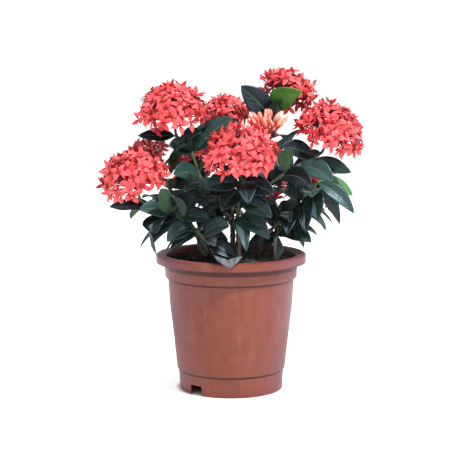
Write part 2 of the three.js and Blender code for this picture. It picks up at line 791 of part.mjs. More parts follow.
// A floret is a four-petalled star whose underside narrows to a slim tube, which ends in a point
// in the head's middle, the given length away
function floretGeometry(spin, length) {
  const { radius, notchShare, shoulderShare, shoulderTurn, shoulderLift, recurve } = floret;
  const ring = (angles, far, height) => angles.map((angle) => [
    far * Math.cos(radians(angle)), far * Math.sin(radians(angle)), height,
  ]);
  const outline = [0, 90, 180, 270].flatMap((quarter) => {
    const middle = quarter + spin;
    return [
      ...ring([middle - 45], notchShare * radius, 0),
      ...ring([middle - shoulderTurn], shoulderShare * radius, shoulderLift),
      ...ring([middle], radius, -recurve),
      ...ring([middle + shoulderTurn], shoulderShare * radius, shoulderLift),
    ];
  });
  const round = [0, 120, 240].map((third) => spin - 45 + third);
  const points = [
    ...outline,
    ...ring(round, floret.tubeRadius, -floret.throat),
    [0, 0, -floret.dimple],
    [0, 0, -length],
  ];
  const loop = (start, count) => [...numbered(start, count), start];
  const rim = loop(0, outline.length);
  const throat = loop(outline.length, round.length);
  const [middle, root] = numbered(points.length - 2, 2);
  return meshOf(points, [
    ...strip([middle], rim).map(([a, b, c]) => [a, c, b]),
    ...strip(throat, rim),
    ...strip([root], throat),
  ]);
}

function coreSolid(head) {
  const size = coreRadius(head);
  const shape = turned([
    [0, -core.depth],
    [core.footRadius, -core.depth],
    ...core.outline.map(([r, z]) => [r * size, z * size]),
  ], core.sides);
  return shape.transform(placing(vector(head.at), headAxis(head)));
}

// The matrix that stands a shape built along +Z on a point, facing a direction
function placing(point, direction) {
  const turn = new THREE.Quaternion().setFromUnitVectors(up, direction);
  return new THREE.Matrix4().compose(point, turn, new THREE.Vector3(1, 1, 1)).toArray();
}

function headSolid(head, random) {
  const centre = vector(head.at);
  const share = 1 - Math.cos(radians(head.spread ?? dome.spread));
  const area = 2 * Math.PI * head.radius ** 2 * share;
  const count = head.buds ? bud.count : Math.round(area / floret.area);
  const pieces = [coreSolid(head)];
  for (const direction of domeDirections(head, count)) {
    const spin = random() * 90;
    const reach = head.radius * (1 + dome.ragged * (2 * random() - 1));
    const seat = centre.clone().addScaledVector(direction, reach);
    const shape = head.buds ? budGeometry(reach) : floretGeometry(spin, reach);
    pieces.push(solidOf(shape).transform(placing(seat, direction)));
  }
  return fused(pieces);
}

// An unopened bud is a pointed spindle on a slim tube, its point at the origin
function budGeometry(length) {
  const profile = [
    [0, -length], [floret.tubeRadius, -bud.length], [bud.radius, -bud.widest * bud.length], [0, 0],
  ];
  return new THREE.LatheGeometry(profile.map(([r, z]) => new THREE.Vector2(r, z)), bud.sides)
    .rotateX(Math.PI / 2);
}

// ---------------------------------------------------------------- assembly

const materials = {
  plastic: new THREE.MeshStandardMaterial({ color: 0xa05a48, roughness: 0.55, metalness: 0 }),
  soil: new THREE.MeshStandardMaterial({ color: 0x2a211c, roughness: 0.95, metalness: 0 }),
  bark: new THREE.MeshStandardMaterial({ color: 0x5a4636, roughness: 0.85, metalness: 0 }),
  leaf: new THREE.MeshStandardMaterial({ color: 0x24452b, roughness: 0.4, metalness: 0 }),
  petal: new THREE.MeshStandardMaterial({ color: 0xf4584c, roughness: 0.55, metalness: 0 }),
  bud: new THREE.MeshStandardMaterial({ color: 0xf6906c, roughness: 0.5, metalness: 0 }),
  withered: new THREE.MeshStandardMaterial({ color: 0x8d8a8a, roughness: 0.8, metalness: 0 }),
};

const plant = new THREE.Group();

function addNode(name, solid, material) {
  const mesh = new THREE.Mesh(geometryOf(solid), material);
  mesh.name = name;
  plant.add(mesh);
}

const { grown, fallen } = growLeaves();
const headRandom = generator(pairRule.seed + 1);

addNode('pot', potSolid(), materials.plastic);
addNode('soil', soilSolid(Object.values(rootedStems).map(stemHole)), materials.soil);
for (const name of Object.keys(rootedStems)) {
  addNode(`stem_${name}`, woodSolid(name), materials.bark);
}
for (const shoot of shoots) {
  addNode(`shoot_${shoot.name}`, shootSolid(shoot, grown.get(shoot.name)), materials.leaf);
}
for (const { name, head } of shoots.filter((shoot) => shoot.head)) {
  const material = head.buds ? materials.bud : materials.petal;
  addNode(`head_${name}`, headSolid(head, headRandom), material);
}
addNode('fallen_leaf', bladeSolid(fallen), materials.withered);

export default plant;
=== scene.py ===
import math
import random

import bpy
import numpy as np
from mathutils import Matrix, Vector, noise


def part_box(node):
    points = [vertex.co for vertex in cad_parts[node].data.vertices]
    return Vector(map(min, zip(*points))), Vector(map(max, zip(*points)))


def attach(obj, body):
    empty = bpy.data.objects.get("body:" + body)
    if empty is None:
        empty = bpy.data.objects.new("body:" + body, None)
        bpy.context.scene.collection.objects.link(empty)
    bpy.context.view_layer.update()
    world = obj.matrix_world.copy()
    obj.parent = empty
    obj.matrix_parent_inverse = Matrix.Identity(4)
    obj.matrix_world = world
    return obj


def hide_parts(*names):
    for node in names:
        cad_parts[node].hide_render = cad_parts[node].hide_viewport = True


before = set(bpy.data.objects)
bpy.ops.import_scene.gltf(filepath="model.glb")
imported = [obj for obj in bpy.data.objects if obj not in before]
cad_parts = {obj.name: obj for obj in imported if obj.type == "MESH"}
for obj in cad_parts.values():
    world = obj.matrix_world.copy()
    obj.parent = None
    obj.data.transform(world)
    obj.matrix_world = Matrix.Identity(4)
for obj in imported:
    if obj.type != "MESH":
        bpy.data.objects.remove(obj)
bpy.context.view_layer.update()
mm = 0.001
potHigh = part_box("pot")[1]
print("frame loaded")

# The camera stands well back from the pot, a little above the flowers, and looks slightly down
cameraPlace = {
    "at": (7.9, -1900, 473),  # mm
    "downward": 8.08,  # degrees
    "focal": 109.4,  # mm on a 36 mm wide sensor
}


def addCamera():
    bpy.ops.object.camera_add(location=[value * mm for value in cameraPlace["at"]])
    camera = bpy.context.object
    camera.rotation_euler = (math.radians(90 - cameraPlace["downward"]), 0, 0)
    camera.data.lens = cameraPlace["focal"]
    camera.data.sensor_width = 36
    camera.data.clip_end = 50
    bpy.context.scene.camera = camera


addCamera()


# Small helpers for working on one piece


def only(piece):
    # object mode, with this piece alone selected and active
    if bpy.context.mode != "OBJECT":
        bpy.ops.object.mode_set(mode="OBJECT")
    bpy.ops.object.select_all(action="DESELECT")
    piece.select_set(True)
    bpy.context.view_layer.objects.active = piece
    return piece


def pick(piece, test):
    # edit mode, with just the vertices that pass the test selected
    only(piece)
    mesh = piece.data
    for part in (*mesh.polygons, *mesh.edges):
        part.select = False
    for vertex in mesh.vertices:
        vertex.select = bool(test(vertex.co))
    bpy.ops.object.mode_set(mode="EDIT")
    bpy.ops.mesh.select_mode(type="VERT")


def settled(piece):
    # its place goes into its mesh, and the object back to the origin
    only(piece)
    bpy.ops.object.transform_apply(location=True, rotation=True, scale=True)
    return piece


def modified(piece, kind, **settings):
    # one modifier, set and applied
    only(piece)
    modifier = piece.modifiers.new("step", kind)
    for name, value in settings.items():
        setattr(modifier, name, value)
    bpy.ops.object.modifier_apply(modifier=modifier.name)
    return piece


def copyOf(master):
    copy = master.copy()
    copy.data = master.data.copy()
    bpy.context.scene.collection.objects.link(copy)
    return copy


def joined(name, pieces):
    only(pieces[0])
    for piece in pieces:
        piece.select_set(True)
    bpy.ops.object.join()
    whole = bpy.context.object
    whole.name = name
    whole.data.name = name
    return whole


def removed(piece):
    bpy.data.objects.remove(piece)


def placesOf(piece):
    places = np.empty(len(piece.data.vertices) * 3)
    piece.data.vertices.foreach_get("co", places)
    return places.reshape(-1, 3)


def reshaped(piece, rule):
    # moves every vertex to where the rule puts it
    piece.data.vertices.foreach_set("co", np.ascontiguousarray(rule(placesOf(piece))).ravel())
    piece.data.update()
    return piece


def marked(piece, name, values):
    # a value on each vertex that the materials can read
    mesh = piece.data
    layer = mesh.attributes.get(name) or mesh.attributes.new(name, "FLOAT", "POINT")
    layer.data.foreach_set("value", np.broadcast_to(values, len(mesh.vertices)).astype(np.float32))
    return piece


def marksOf(piece, name):
    values = np.empty(len(piece.data.vertices), dtype=np.float32)
    piece.data.attributes[name].data.foreach_get("value", values)
    return values


def smooth(piece, angle=60):
    only(piece)
    bpy.ops.object.shade_smooth_by_angle(angle=math.radians(angle))
    return piece


def turnedFrom(name, outline, steps):
    # a vertex is drawn along the outline of (radius, height) in mm, and the line spun about Z
    radius, height = outline[0]
    bpy.ops.mesh.primitive_plane_add(size=mm, location=(radius * mm, 0, height * mm))
    piece = bpy.context.object
    piece.name = name
    bpy.ops.object.mode_set(mode="EDIT")
    bpy.ops.mesh.merge(type="CENTER")
    for (nearRadius, nearHeight), (farRadius, farHeight) in zip(outline, outline[1:]):
        step = ((farRadius - nearRadius) * mm, 0, (farHeight - nearHeight) * mm)
        bpy.ops.mesh.extrude_vertices_move(TRANSFORM_OT_translate={"value": step})
    bpy.ops.mesh.select_all(action="SELECT")
    bpy.ops.mesh.spin(steps=steps, angle=2 * math.pi, center=(0, 0, 0), axis=(0, 0, 1))
    bpy.ops.mesh.select_all(action="SELECT")
    bpy.ops.mesh.remove_doubles(threshold=0.01 * mm)
    bpy.ops.mesh.normals_make_consistent(inside=False)
    return settled(piece)


def tubesThrough(name, runs, sides=6):
    # round rods along runs of (places in mm, radii in mm), all in one mesh
    curve = bpy.data.curves.new(name, "CURVE")
    curve.dimensions = "3D"
    curve.bevel_depth = mm
    curve.bevel_resolution = (sides - 4) // 2
    curve.use_fill_caps = True
    for places, radii in runs:
        spline = curve.splines.new("POLY")
        spline.points.add(len(places) - 1)
        for point, place, radius in zip(spline.points, places, radii):
            point.co = (*(value * mm for value in place), 1)
            point.radius = radius
    piece = bpy.data.objects.new(name, curve)
    bpy.context.scene.collection.objects.link(piece)
    only(piece)
    bpy.ops.object.convert(target="MESH")
    return bpy.context.object


# Materials. A colour is given as it looks on a screen, 0 to 255


class Shade:
    # wraps a node's socket, so that shader maths reads as plain expressions
    def __init__(self, tree, socket=None):
        self.tree = tree
        self.socket = socket

    def node(self, kind, settings=None, inputs=None, output=0):
        made = self.tree.nodes.new("ShaderNode" + kind)
        for name, value in (settings or {}).items():
            if name == "stops":
                self.setStops(made.color_ramp, value)
            else:
                setattr(made, name, value)
        for name, value in (inputs or {}).items():
            if isinstance(value, Shade):
                self.tree.links.new(value.socket, made.inputs[name])
            else:
                made.inputs[name].default_value = value
        return Shade(self.tree, made.outputs[output])

    @staticmethod
    def setStops(ramp, stops):
        while len(ramp.elements) < len(stops):
            ramp.elements.new(1)
        for element, (place, colour) in zip(ramp.elements, stops):
            element.position = place
            element.color = (*colour, 1) if len(colour) == 3 else colour

    def maths(self, operation, first, second):
        return self.node("Math", {"operation": operation}, {0: first, 1: second})

    def __add__(self, other):
        return self.maths("ADD", self, other)

    def __radd__(self, other):
        return self.maths("ADD", other, self)

    def __sub__(self, other):
        return self.maths("SUBTRACT", self, other)

    def __rsub__(self, other):
        return self.maths("SUBTRACT", other, self)

    def __mul__(self, other):
        return self.maths("MULTIPLY", self, other)

    def __rmul__(self, other):
        return self.maths("MULTIPLY", other, self)

    def __pow__(self, other):
        return self.maths("POWER", self, other)

    def size(self):
        return self.node("Math", {"operation": "ABSOLUTE"}, {0: self})

    def sine(self):
        return self.node("Math", {"operation": "SINE"}, {0: self})

    def spread(self, low, high, toLow=0.0, toHigh=1.0):
        # carries low..high over to toLow..toHigh, smoothly and no further
        return self.node("MapRange", {"interpolation_type": "SMOOTHSTEP"}, {
            "Value": self, "From Min": low, "From Max": high, "To Min": toLow, "To Max": toHigh,
        })

    def mixed(self, share, first, second):
        # colours: first where share is 0, second where it is 1
        made = self.tree.nodes.new("ShaderNodeMix")
        made.data_type = "RGBA"
        for index, value in ((0, share), (6, first), (7, second)):
            if isinstance(value, Shade):
                self.tree.links.new(value.socket, made.inputs[index])
            else:
                made.inputs[index].default_value = (*value, 1) if index else value
        return Shade(self.tree, made.outputs[2])

    def layered(self, colour, *layers):
        # each (mask, colour) is laid over the ones before it
        for mask, over in layers:
            colour = self.mixed(mask, colour, over)
        return colour

    def place(self):
        return self.node("TexCoord", output="Object")

    def split(self, places):
        parts = self.node("SeparateXYZ", None, {"Vector": places}).socket.node.outputs
        return [Shade(self.tree, part) for part in parts]

    def mark(self, name):
        return self.node("Attribute", {"attribute_name": name}, output="Fac")

    def grain(self, scale, detail=2.0, roughness=0.5, at=None, distortion=0.0):
        return self.node("TexNoise", None, {
            "Scale": scale, "Detail": detail, "Roughness": roughness, "Distortion": distortion,
            "Vector": at or self.place(),
        })

    def stretched(self, x, y, z):
        return self.node("Mapping", None, {"Vector": self.place(), "Scale": (x, y, z)})

    def bump(self, height, strength, distance):
        return self.node("Bump", None, {"Height": height, "Strength": strength, "Distance": distance})


def linear(*levels):
    # a colour as it looks on a screen, 0 to 255, as the light that it stands for
    shares = [level / 255 for level in levels]
    return tuple(s / 12.92 if s <= 0.04045 else ((s + 0.055) / 1.055) ** 2.4 for s in shares)


def newMaterial(name, build):
    material = bpy.data.materials.new(name)
    material.use_nodes = True
    tree = material.node_tree
    surface = tree.nodes["Principled BSDF"]
    for socket, value in build(Shade(tree)).items():
        if isinstance(value, Shade):
            tree.links.new(value.socket, surface.inputs[socket])
        else:
            surface.inputs[socket].default_value = value
    return material


potLook = {
    "clay": linear(113, 54, 37),
    "worn": linear(111, 58, 51),
    # painted sheen: this mauve is laid on the pot's left and right sides
    "paintedSideSheen": linear(98, 57, 76),
    "dark": linear(84, 36, 30),
    "dust": linear(136, 96, 94),
    # painted shade: this colour, laid in the bands below, stands for the rim's shadow and the shadow lines
    # at the steps
    "paintedShade": linear(46, 10, 12),
    "shadeBands": ((0.1676, 0.0046), (0.1500, 0.0016), (0.0266, 0.0016)),  # height and half-width, m
}


def potPlastic(shade):
    # moulded plastic, blotchy, with dust; a mauve tint on its left and right sides is painted sheen, and
    # dark bands under the rim and at each step are painted shade
    across, _, height = shade.split(shade.place())
    blotch = shade.grain(13, 3, 0.6).spread(0.4, 0.62)
    cloudy = shade.grain(46, 4, 0.65, distortion=0.6).spread(0.45, 0.7)
    runs = shade.grain(1, 3, 0.6, at=shade.stretched(70, 70, 11)).spread(0.46, 0.72)
    dusty = runs * (0.12 + shade.grain(110, 3, 0.6).spread(0.5, 0.74) * 0.4)
    colour = shade.layered(
        potLook["clay"],
        (blotch * 0.7, potLook["worn"]),
        # painted sheen: the pot's left and right sides, along X, tinted mauve
        (across.size().spread(0.03, 0.1) * 0.75, potLook["paintedSideSheen"]),
        (cloudy * 0.35, potLook["dark"]),
        (dusty, potLook["dust"]),
    )
    for shadeHeight, halfWidth in potLook["shadeBands"]:
        # painted shade: the rim's shadow on the collar, and a dark shadow line at the collar's step and at
        # the foot's step
        paintedShadow = (height - shadeHeight).size().spread(halfWidth * 0.55, halfWidth * 1.25, 0.85, 0.0)
        colour = shade.mixed(paintedShadow, colour, potLook["paintedShade"])
    fine = shade.grain(900, 2, 0.5)
    return {
        "Base Color": colour,
        "Roughness": 0.42 + blotch * 0.12 + dusty * 0.25,
        "Normal": shade.bump(fine * 0.3 + cloudy * 0.7, 0.18, 0.0006),
        "Specular IOR Level": 0.3,
    }


soilLook = {
    "wet": linear(14, 12, 11),
    "dry": linear(60, 57, 52),
    # used for real grit specks and for the painted sunlight on the soil's right side
    "gritAndSunlit": linear(96, 92, 84),
}


def pottingSoil(shade):
    # dark crumbs, each crumb with its own shade, lighter grey-brown towards the pot's right side as painted
    # sunlight
    lumps = shade.grain(60, 5, 0.7).spread(0.4, 0.68)
    tint = shade.mark("tint")
    across = shade.split(shade.place())[0]
    # painted sunlight: the soil lighter towards +X, where the key light falls
    paintedSunlight = (across + (lumps - 0.5) * 0.03).spread(0.0, 0.045)
    colour = shade.layered(
        soilLook["wet"],
        (lumps, soilLook["dry"]),
        (tint.spread(0.35, 0.9, 0.0, 0.7), soilLook["dry"]),
        (paintedSunlight * 0.7, soilLook["gritAndSunlit"]),
        (tint.spread(0.93, 0.97), soilLook["gritAndSunlit"]),
    )
    crumbs = shade.grain(700, 4, 0.7)
    return {
        "Base Color": colour,
        "Roughness": 0.9 + lumps * 0.08,
        "Normal": shade.bump(crumbs, 0.7, 0.0012),
        "Specular IOR Level": 0.2,
    }


barkLook = {
    "brown": linear(52, 44, 38),
    "grey": linear(88, 80, 72),
    "crack": linear(26, 20, 18),
}


def bark(shade):
    # grey-brown bark with cracks along the stem and pale corky dots
    streaks = shade.grain(1, 4, 0.65, at=shade.stretched(420, 420, 60))
    cracks = streaks.spread(0.34, 0.42, 1.0, 0.0)
    dots = shade.grain(520, 1, 0.4).spread(0.66, 0.72)
    colour = shade.layered(
        barkLook["brown"],
        (streaks.spread(0.42, 0.62), barkLook["grey"]),
        (cracks * 0.8, barkLook["crack"]),
        (dots * 0.6, barkLook["grey"]),
    )
    return {
        "Base Color": colour,
        "Roughness": 0.82 + cracks * 0.1,
        "Normal": shade.bump(streaks + dots * 0.4, 0.5, 0.0008),
    }


leafLook = {
    "deep": linear(3, 9, 14),
    "middle": linear(30, 58, 52),
    "young": linear(84, 146, 54),
    "vein": linear(100, 118, 92),
    "under": linear(30, 50, 40),
    "stem": linear(50, 66, 40),
    "oldStem": linear(56, 50, 40),
    "sheen": (0.62, 0.8, 1.0, 1),
}


def veins(shade):
    # across runs 0 to 1 over the blade's width, along 0 to 1 from stalk to tip
    across, along, _ = shade.split(shade.node("TexCoord", output="UV"))
    side = (across - 0.5).size()
    midrib = side.spread(0.012, 0.034, 1.0, 0.0)
    comb = ((along * 46 - side * 30).sine() * 0.5 + 0.5) ** 12
    return along, midrib, comb * side.spread(0.0, 0.06) * side.spread(0.47, 0.3)


def leafTop(shade):
    # glossy leathery upper face: pale midrib, faint side veins, an own shade for each leaf
    along, midrib, comb = veins(shade)
    tint = shade.mark("tint")
    patches = shade.grain(70, 3, 0.6).spread(0.35, 0.7)
    colour = shade.layered(
        leafLook["deep"],
        (tint.spread(0.0, 0.55), leafLook["middle"]),
        (tint.spread(0.55, 1.0), leafLook["young"]),
        (patches * 0.35, leafLook["deep"]),
        (comb * (0.08 + tint * tint * 0.25), leafLook["vein"]),
        (midrib * (0.6 - along * 0.35), leafLook["vein"]),
    )
    pores = shade.grain(1500, 2, 0.5)
    relief = comb * -0.22 + midrib * -0.6 + patches * 0.3 + pores * 0.06
    return {
        "Base Color": colour,
        "Roughness": 0.33 + patches * 0.2,
        "Normal": shade.bump(relief, 0.55, 0.0009),
        "Specular IOR Level": 0.5,
        "Specular Tint": leafLook["sheen"],
    }


def leafUnder(shade):
    # paler, duller lower face
    _, midrib, comb = veins(shade)
    patches = shade.grain(90, 3, 0.6).spread(0.35, 0.7)
    colour = shade.layered(
        leafLook["under"],
        (shade.mark("tint").spread(0.2, 1.0), leafLook["young"]),
        (patches * 0.3, leafLook["middle"]),
        (comb * 0.3 + midrib * 0.6, leafLook["vein"]),
    )
    return {
        "Base Color": colour,
        "Roughness": 0.6 + patches * 0.08,
        "Normal": shade.bump(comb * 0.5 + midrib, 0.45, 0.0008),
    }


def greenStem(shade):
    # green at the tips of the plant, browner and streaked lower down
    streaks = shade.grain(1, 3, 0.6, at=shade.stretched(500, 500, 45))
    colour = shade.layered(
        leafLook["stem"],
        (shade.mark("tint"), leafLook["oldStem"]),
        (streaks.spread(0.45, 0.7) * 0.5, leafLook["vein"]),
    )
    return {
        "Base Color": colour,
        "Roughness": 0.5 + streaks * 0.15,
        "Normal": shade.bump(streaks, 0.25, 0.0005),
    }


petalLook = {
    "coral": linear(206, 46, 46),
    "pink": linear(236, 94, 98),
    "deep": linear(140, 12, 32),
    "throat": linear(168, 18, 20),
    "tube": linear(88, 10, 26),
    "stalk": linear(44, 16, 18),
}


def petal(shade):
    # each floret has its own shade: deep red throat, darkened further as painted shade where its petals
    # meet, coral blade, pinker point. Along runs 0 to 1 from the throat out to a petal's point, and 0 to -1
    # down the tube to the calyx
    along = shade.mark("along")
    tint = shade.mark("tint")
    streaks = shade.grain(900, 2, 0.5)
    colour = shade.layered(
        petalLook["coral"],
        (tint, petalLook["pink"]),
        (along.spread(0.55, 1.0) * 0.35, petalLook["pink"]),
        # partly painted shade: the throat's own deep red, spread over the inner half of each petal where
        # the petals meet
        (along.spread(0.5, 0.06) * 0.8, petalLook["throat"]),
        (tint.spread(0.36, 0.0) * 0.75, petalLook["deep"]),
        (streaks.spread(0.5, 0.75) * 0.12, petalLook["deep"]),
        (along.spread(0.0, -0.08), petalLook["tube"]),
        (along.spread(-0.86, -1.0), petalLook["stalk"]),
    )
    return {
        "Base Color": colour,
        "Roughness": 0.52 + streaks * 0.12,
        "Normal": shade.bump(streaks, 0.2, 0.0004),
        "Specular IOR Level": 0.35,
        "Subsurface Weight": 0.08,
        "Subsurface Radius": (0.004, 0.0012, 0.001),
        "Subsurface Scale": 1.0,
    }


budLook = {
    "peach": linear(246, 156, 134),
    "orange": linear(234, 88, 36),
    "tip": linear(244, 132, 122),
    "tube": linear(170, 50, 44),
}


def budSkin(shade):
    # waxy peach buds, orange at their base, on slim tubes
    along = shade.mark("along")
    streaks = shade.grain(700, 2, 0.5)
    colour = shade.layered(
        budLook["peach"],
        (shade.mark("tint"), budLook["tip"]),
        (along.spread(0.55, 0.15), budLook["orange"]),
        (along.spread(0.05, -0.05), budLook["tube"]),
        (along.spread(-0.86, -1.0), petalLook["stalk"]),
    )
    return {
        "Base Color": colour,
        "Roughness": 0.42 + streaks * 0.12,
        "Normal": shade.bump(streaks, 0.15, 0.0004),
        "Subsurface Weight": 0.12,
        "Subsurface Radius": (0.004, 0.0015, 0.001),
        "Subsurface Scale": 1.0,
    }


witheredLook = {
    "grey": linear(74, 76, 84),
    "pale": linear(112, 114, 122),
    "brown": linear(44, 42, 44),
}


def witheredLeaf(shade):
    # dry grey leaf with a net of brown veins and speckles
    _, midrib, comb = veins(shade)
    patches = shade.grain(180, 4, 0.7).spread(0.4, 0.65)
    specks = shade.grain(800, 3, 0.7).spread(0.56, 0.66)
    colour = shade.layered(
        witheredLook["grey"],
        (patches, witheredLook["pale"]),
        ((comb + midrib + specks) * 0.4, witheredLook["brown"]),
    )
    return {
        "Base Color": colour,
        "Roughness": 0.85 + patches * 0.1,
        "Normal": shade.bump(patches + comb * 0.5 + midrib, 0.6, 0.001),
    }


looks = {
    "pot": newMaterial("moulded plastic", potPlastic),
    "soil": newMaterial("potting soil", pottingSoil),
    "bark": newMaterial("bark", bark),
    "leaf": newMaterial("leaf, upper face", leafTop),
    "leafUnder": newMaterial("leaf, lower face", leafUnder),
    "stem": newMaterial("green stem", greenStem),
    "petal": newMaterial("petal", petal),
    "bud": newMaterial("bud", budSkin),
    "withered": newMaterial("withered leaf", witheredLeaf),
}
print("materials made")


def handedIn(piece, node):
    # the piece stands for its CAD node
    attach(piece, "root")
    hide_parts(node)


# The pot, turned from its outline, in mm. Its height and its rim's radius come from the frame, and
# the radius given here is for leaves that are kept clear of the rim

potShape = {
    "segments": 144,
    "rim": {
        "radius": 100, "depth": 11, "wall": 2.4, "lipInner": 88.4,
        "rounding": (2.4, 1.4), "lipRounding": (1.2, 0.8),  # inwards and down
    },
    "collar": {"bottom": 151.6, "bottomRadius": 88, "topRadius": 89.2, "shoulder": 2.6},
    "body": {"topRadius": 84.3, "bottomRadius": 72.4, "bulge": ((76.565, 68), (81.7, 112))},
    "foot": {
        "height": 27.2, "topRadius": 70.2, "bottomRadius": 68.8, "draft": 0.5,
        "chamfer": (0.5, 0.6),  # inwards and down
    },
    "wall": 2.4,
    "floor": {"top": 17.4, "underside": 14.6, "corner": 2.2},
    "softening": 0.7,  # rounding of its edges, where they turn by more than the edge angle
    "edgeAngle": 24,
    "notch": {"width": 20, "height": 13.2, "depth": 7, "corner": 1.6, "angles": (228, 48)},
    "drain": {"radius": 6, "ring": 40, "count": 6, "cut": 12},
    "unevenness": 0.22,
}


def potOutline():
    # up the outside and down the inside, from the middle of the floor's underside to its top
    rim, collar, body, foot, floor = (potShape[k] for k in ("rim", "collar", "body", "foot", "floor"))
    wall = potShape["wall"]
    height = potHigh.z / mm
    radius = potHigh.x / mm
    inner = radius - rim["wall"]
    footInner = foot["bottomRadius"] - wall
    return [
        (0, floor["underside"]),
        (footInner, floor["underside"]),
        (footInner - foot["draft"], 0),
        (foot["bottomRadius"], 0),
        (foot["topRadius"], foot["height"] - foot["chamfer"][1]),
        (foot["topRadius"] - foot["chamfer"][0], foot["height"]),
        (body["bottomRadius"], foot["height"] + 1),
        *body["bulge"],
        (body["topRadius"], collar["bottom"] - collar["shoulder"]),
        (body["topRadius"] + 0.2, collar["bottom"] - 1),
        (collar["bottomRadius"], collar["bottom"]),
        (collar["topRadius"], height - rim["wall"]),
        (inner, height - rim["wall"]),
        (inner, height - rim["depth"]),
        (radius, height - rim["depth"]),
        (radius, height - rim["rounding"][1]),
        (radius - rim["rounding"][0], height),
        (rim["lipInner"] + rim["lipRounding"][0], height),
        (rim["lipInner"], height - rim["lipRounding"][1]),
        (collar["topRadius"] - wall, height - 3),
        (collar["bottomRadius"] - wall, collar["bottom"] + 2),
        (body["topRadius"] - wall, collar["bottom"] - collar["shoulder"] - 2),
        (body["bottomRadius"] - wall, floor["top"] + floor["corner"]),
        (body["bottomRadius"] - wall - floor["corner"], floor["top"]),
        (0, floor["top"]),
    ]


def cutAway(piece, cutter):
    modified(piece, "BOOLEAN", object=cutter, operation="DIFFERENCE", solver="EXACT")
    removed(cutter)


def makePot():
    pot = turnedFrom("pot_shell", potOutline(), potShape["segments"])
    notch = potShape["notch"]
    for angle in notch["angles"]:
        turn = math.radians(angle)
        reach = potShape["foot"]["bottomRadius"] * mm
        bpy.ops.mesh.primitive_cube_add(
            size=2 * mm,
            location=(reach * math.cos(turn), reach * math.sin(turn), 0),
            rotation=(0, 0, turn),
            scale=(notch["depth"], notch["width"] / 2, notch["height"]),
        )
        cutter = bpy.context.object
        modified(cutter, "BEVEL", width=notch["corner"] * mm, segments=3)
        cutAway(pot, cutter)
    drain = potShape["drain"]
    floorMiddle = (potShape["floor"]["top"] + potShape["floor"]["underside"]) / 2
    places = [(0, 0)]
    for i in range(drain["count"]):
        turn = 2 * math.pi * i / drain["count"]
        places.append((drain["ring"] * math.cos(turn), drain["ring"] * math.sin(turn)))
    for x, y in places:
        bpy.ops.mesh.primitive_cylinder_add(
            vertices=24, radius=drain["radius"] * mm, depth=drain["cut"] * mm,
            location=(x * mm, y * mm, floorMiddle * mm),
        )
        cutAway(pot, bpy.context.object)
    modified(
        pot, "BEVEL", width=potShape["softening"] * mm, segments=2, limit_method="ANGLE",
        angle_limit=math.radians(potShape["edgeAngle"]), harden_normals=False,
    )

    def unevenWall(places):
        # a moulded wall is never quite round
        turn = np.arctan2(places[:, 1], places[:, 0])
        swell = np.sin(2 * turn + 0.7) + 0.6 * np.sin(5 * turn + places[:, 2] * 30)
        share = 1 + potShape["unevenness"] * mm * (swell - 1.6) / (potHigh.x * 1.6)
        return places * np.stack([share, share, np.ones_like(share)], axis=1)

    reshaped(pot, unevenWall)
    pot.data.materials.append(looks["pot"])
    smooth(pot, 35)
    handedIn(pot, "pot")


makePot()
print("pot made")

# The soil, a turned fill with an uneven top and loose crumbs on it, in mm
soilShape = {
    "top": 175,
    "waves": ((0.11, 0.05), (-0.04, 0.13)),
    "ripple": 0.85,
    "edgeDrop": 2.5,
    "rings": 46,
    "segments": 150,
    "clod": 1.5,
    "clodNoise": ((0.12, 1, 3), (0.35, 0.6, 9)),  # scale, share and layer of the noise
    "crumbs": 1500,
    "crumbSize": (0.6, 2.6),
    "crumbRoughness": (0.7, 1.2),
    "crumbLength": (0.8, 1.5),
    "crumbHeight": (0.5, 0.9),
    "crumbRise": 0.25,
    "gap": 0.35,
    "seed": 5,
}


def soilHeight(x, y):
    # the fill's own height in mm at a place in mm, before its crumbs
    (a, b), (c, d) = soilShape["waves"]
    far = math.hypot(x, y) / potShape["body"]["topRadius"]
    waves = math.sin(x * a + y * b) + math.cos(x * c + y * d)
    return soilShape["top"] + soilShape["ripple"] * waves - soilShape["edgeDrop"] * far**3


def clods(x, y):
    # how far the crumbly surface stands off that height, in mm
    rough = 0
    for scale, share, layer in soilShape["clodNoise"]:
        rough += share * noise.noise(Vector((x * scale, y * scale, layer)))
    return soilShape["clod"] * rough + 0.5 * noise.noise(Vector((x, y, 1)))


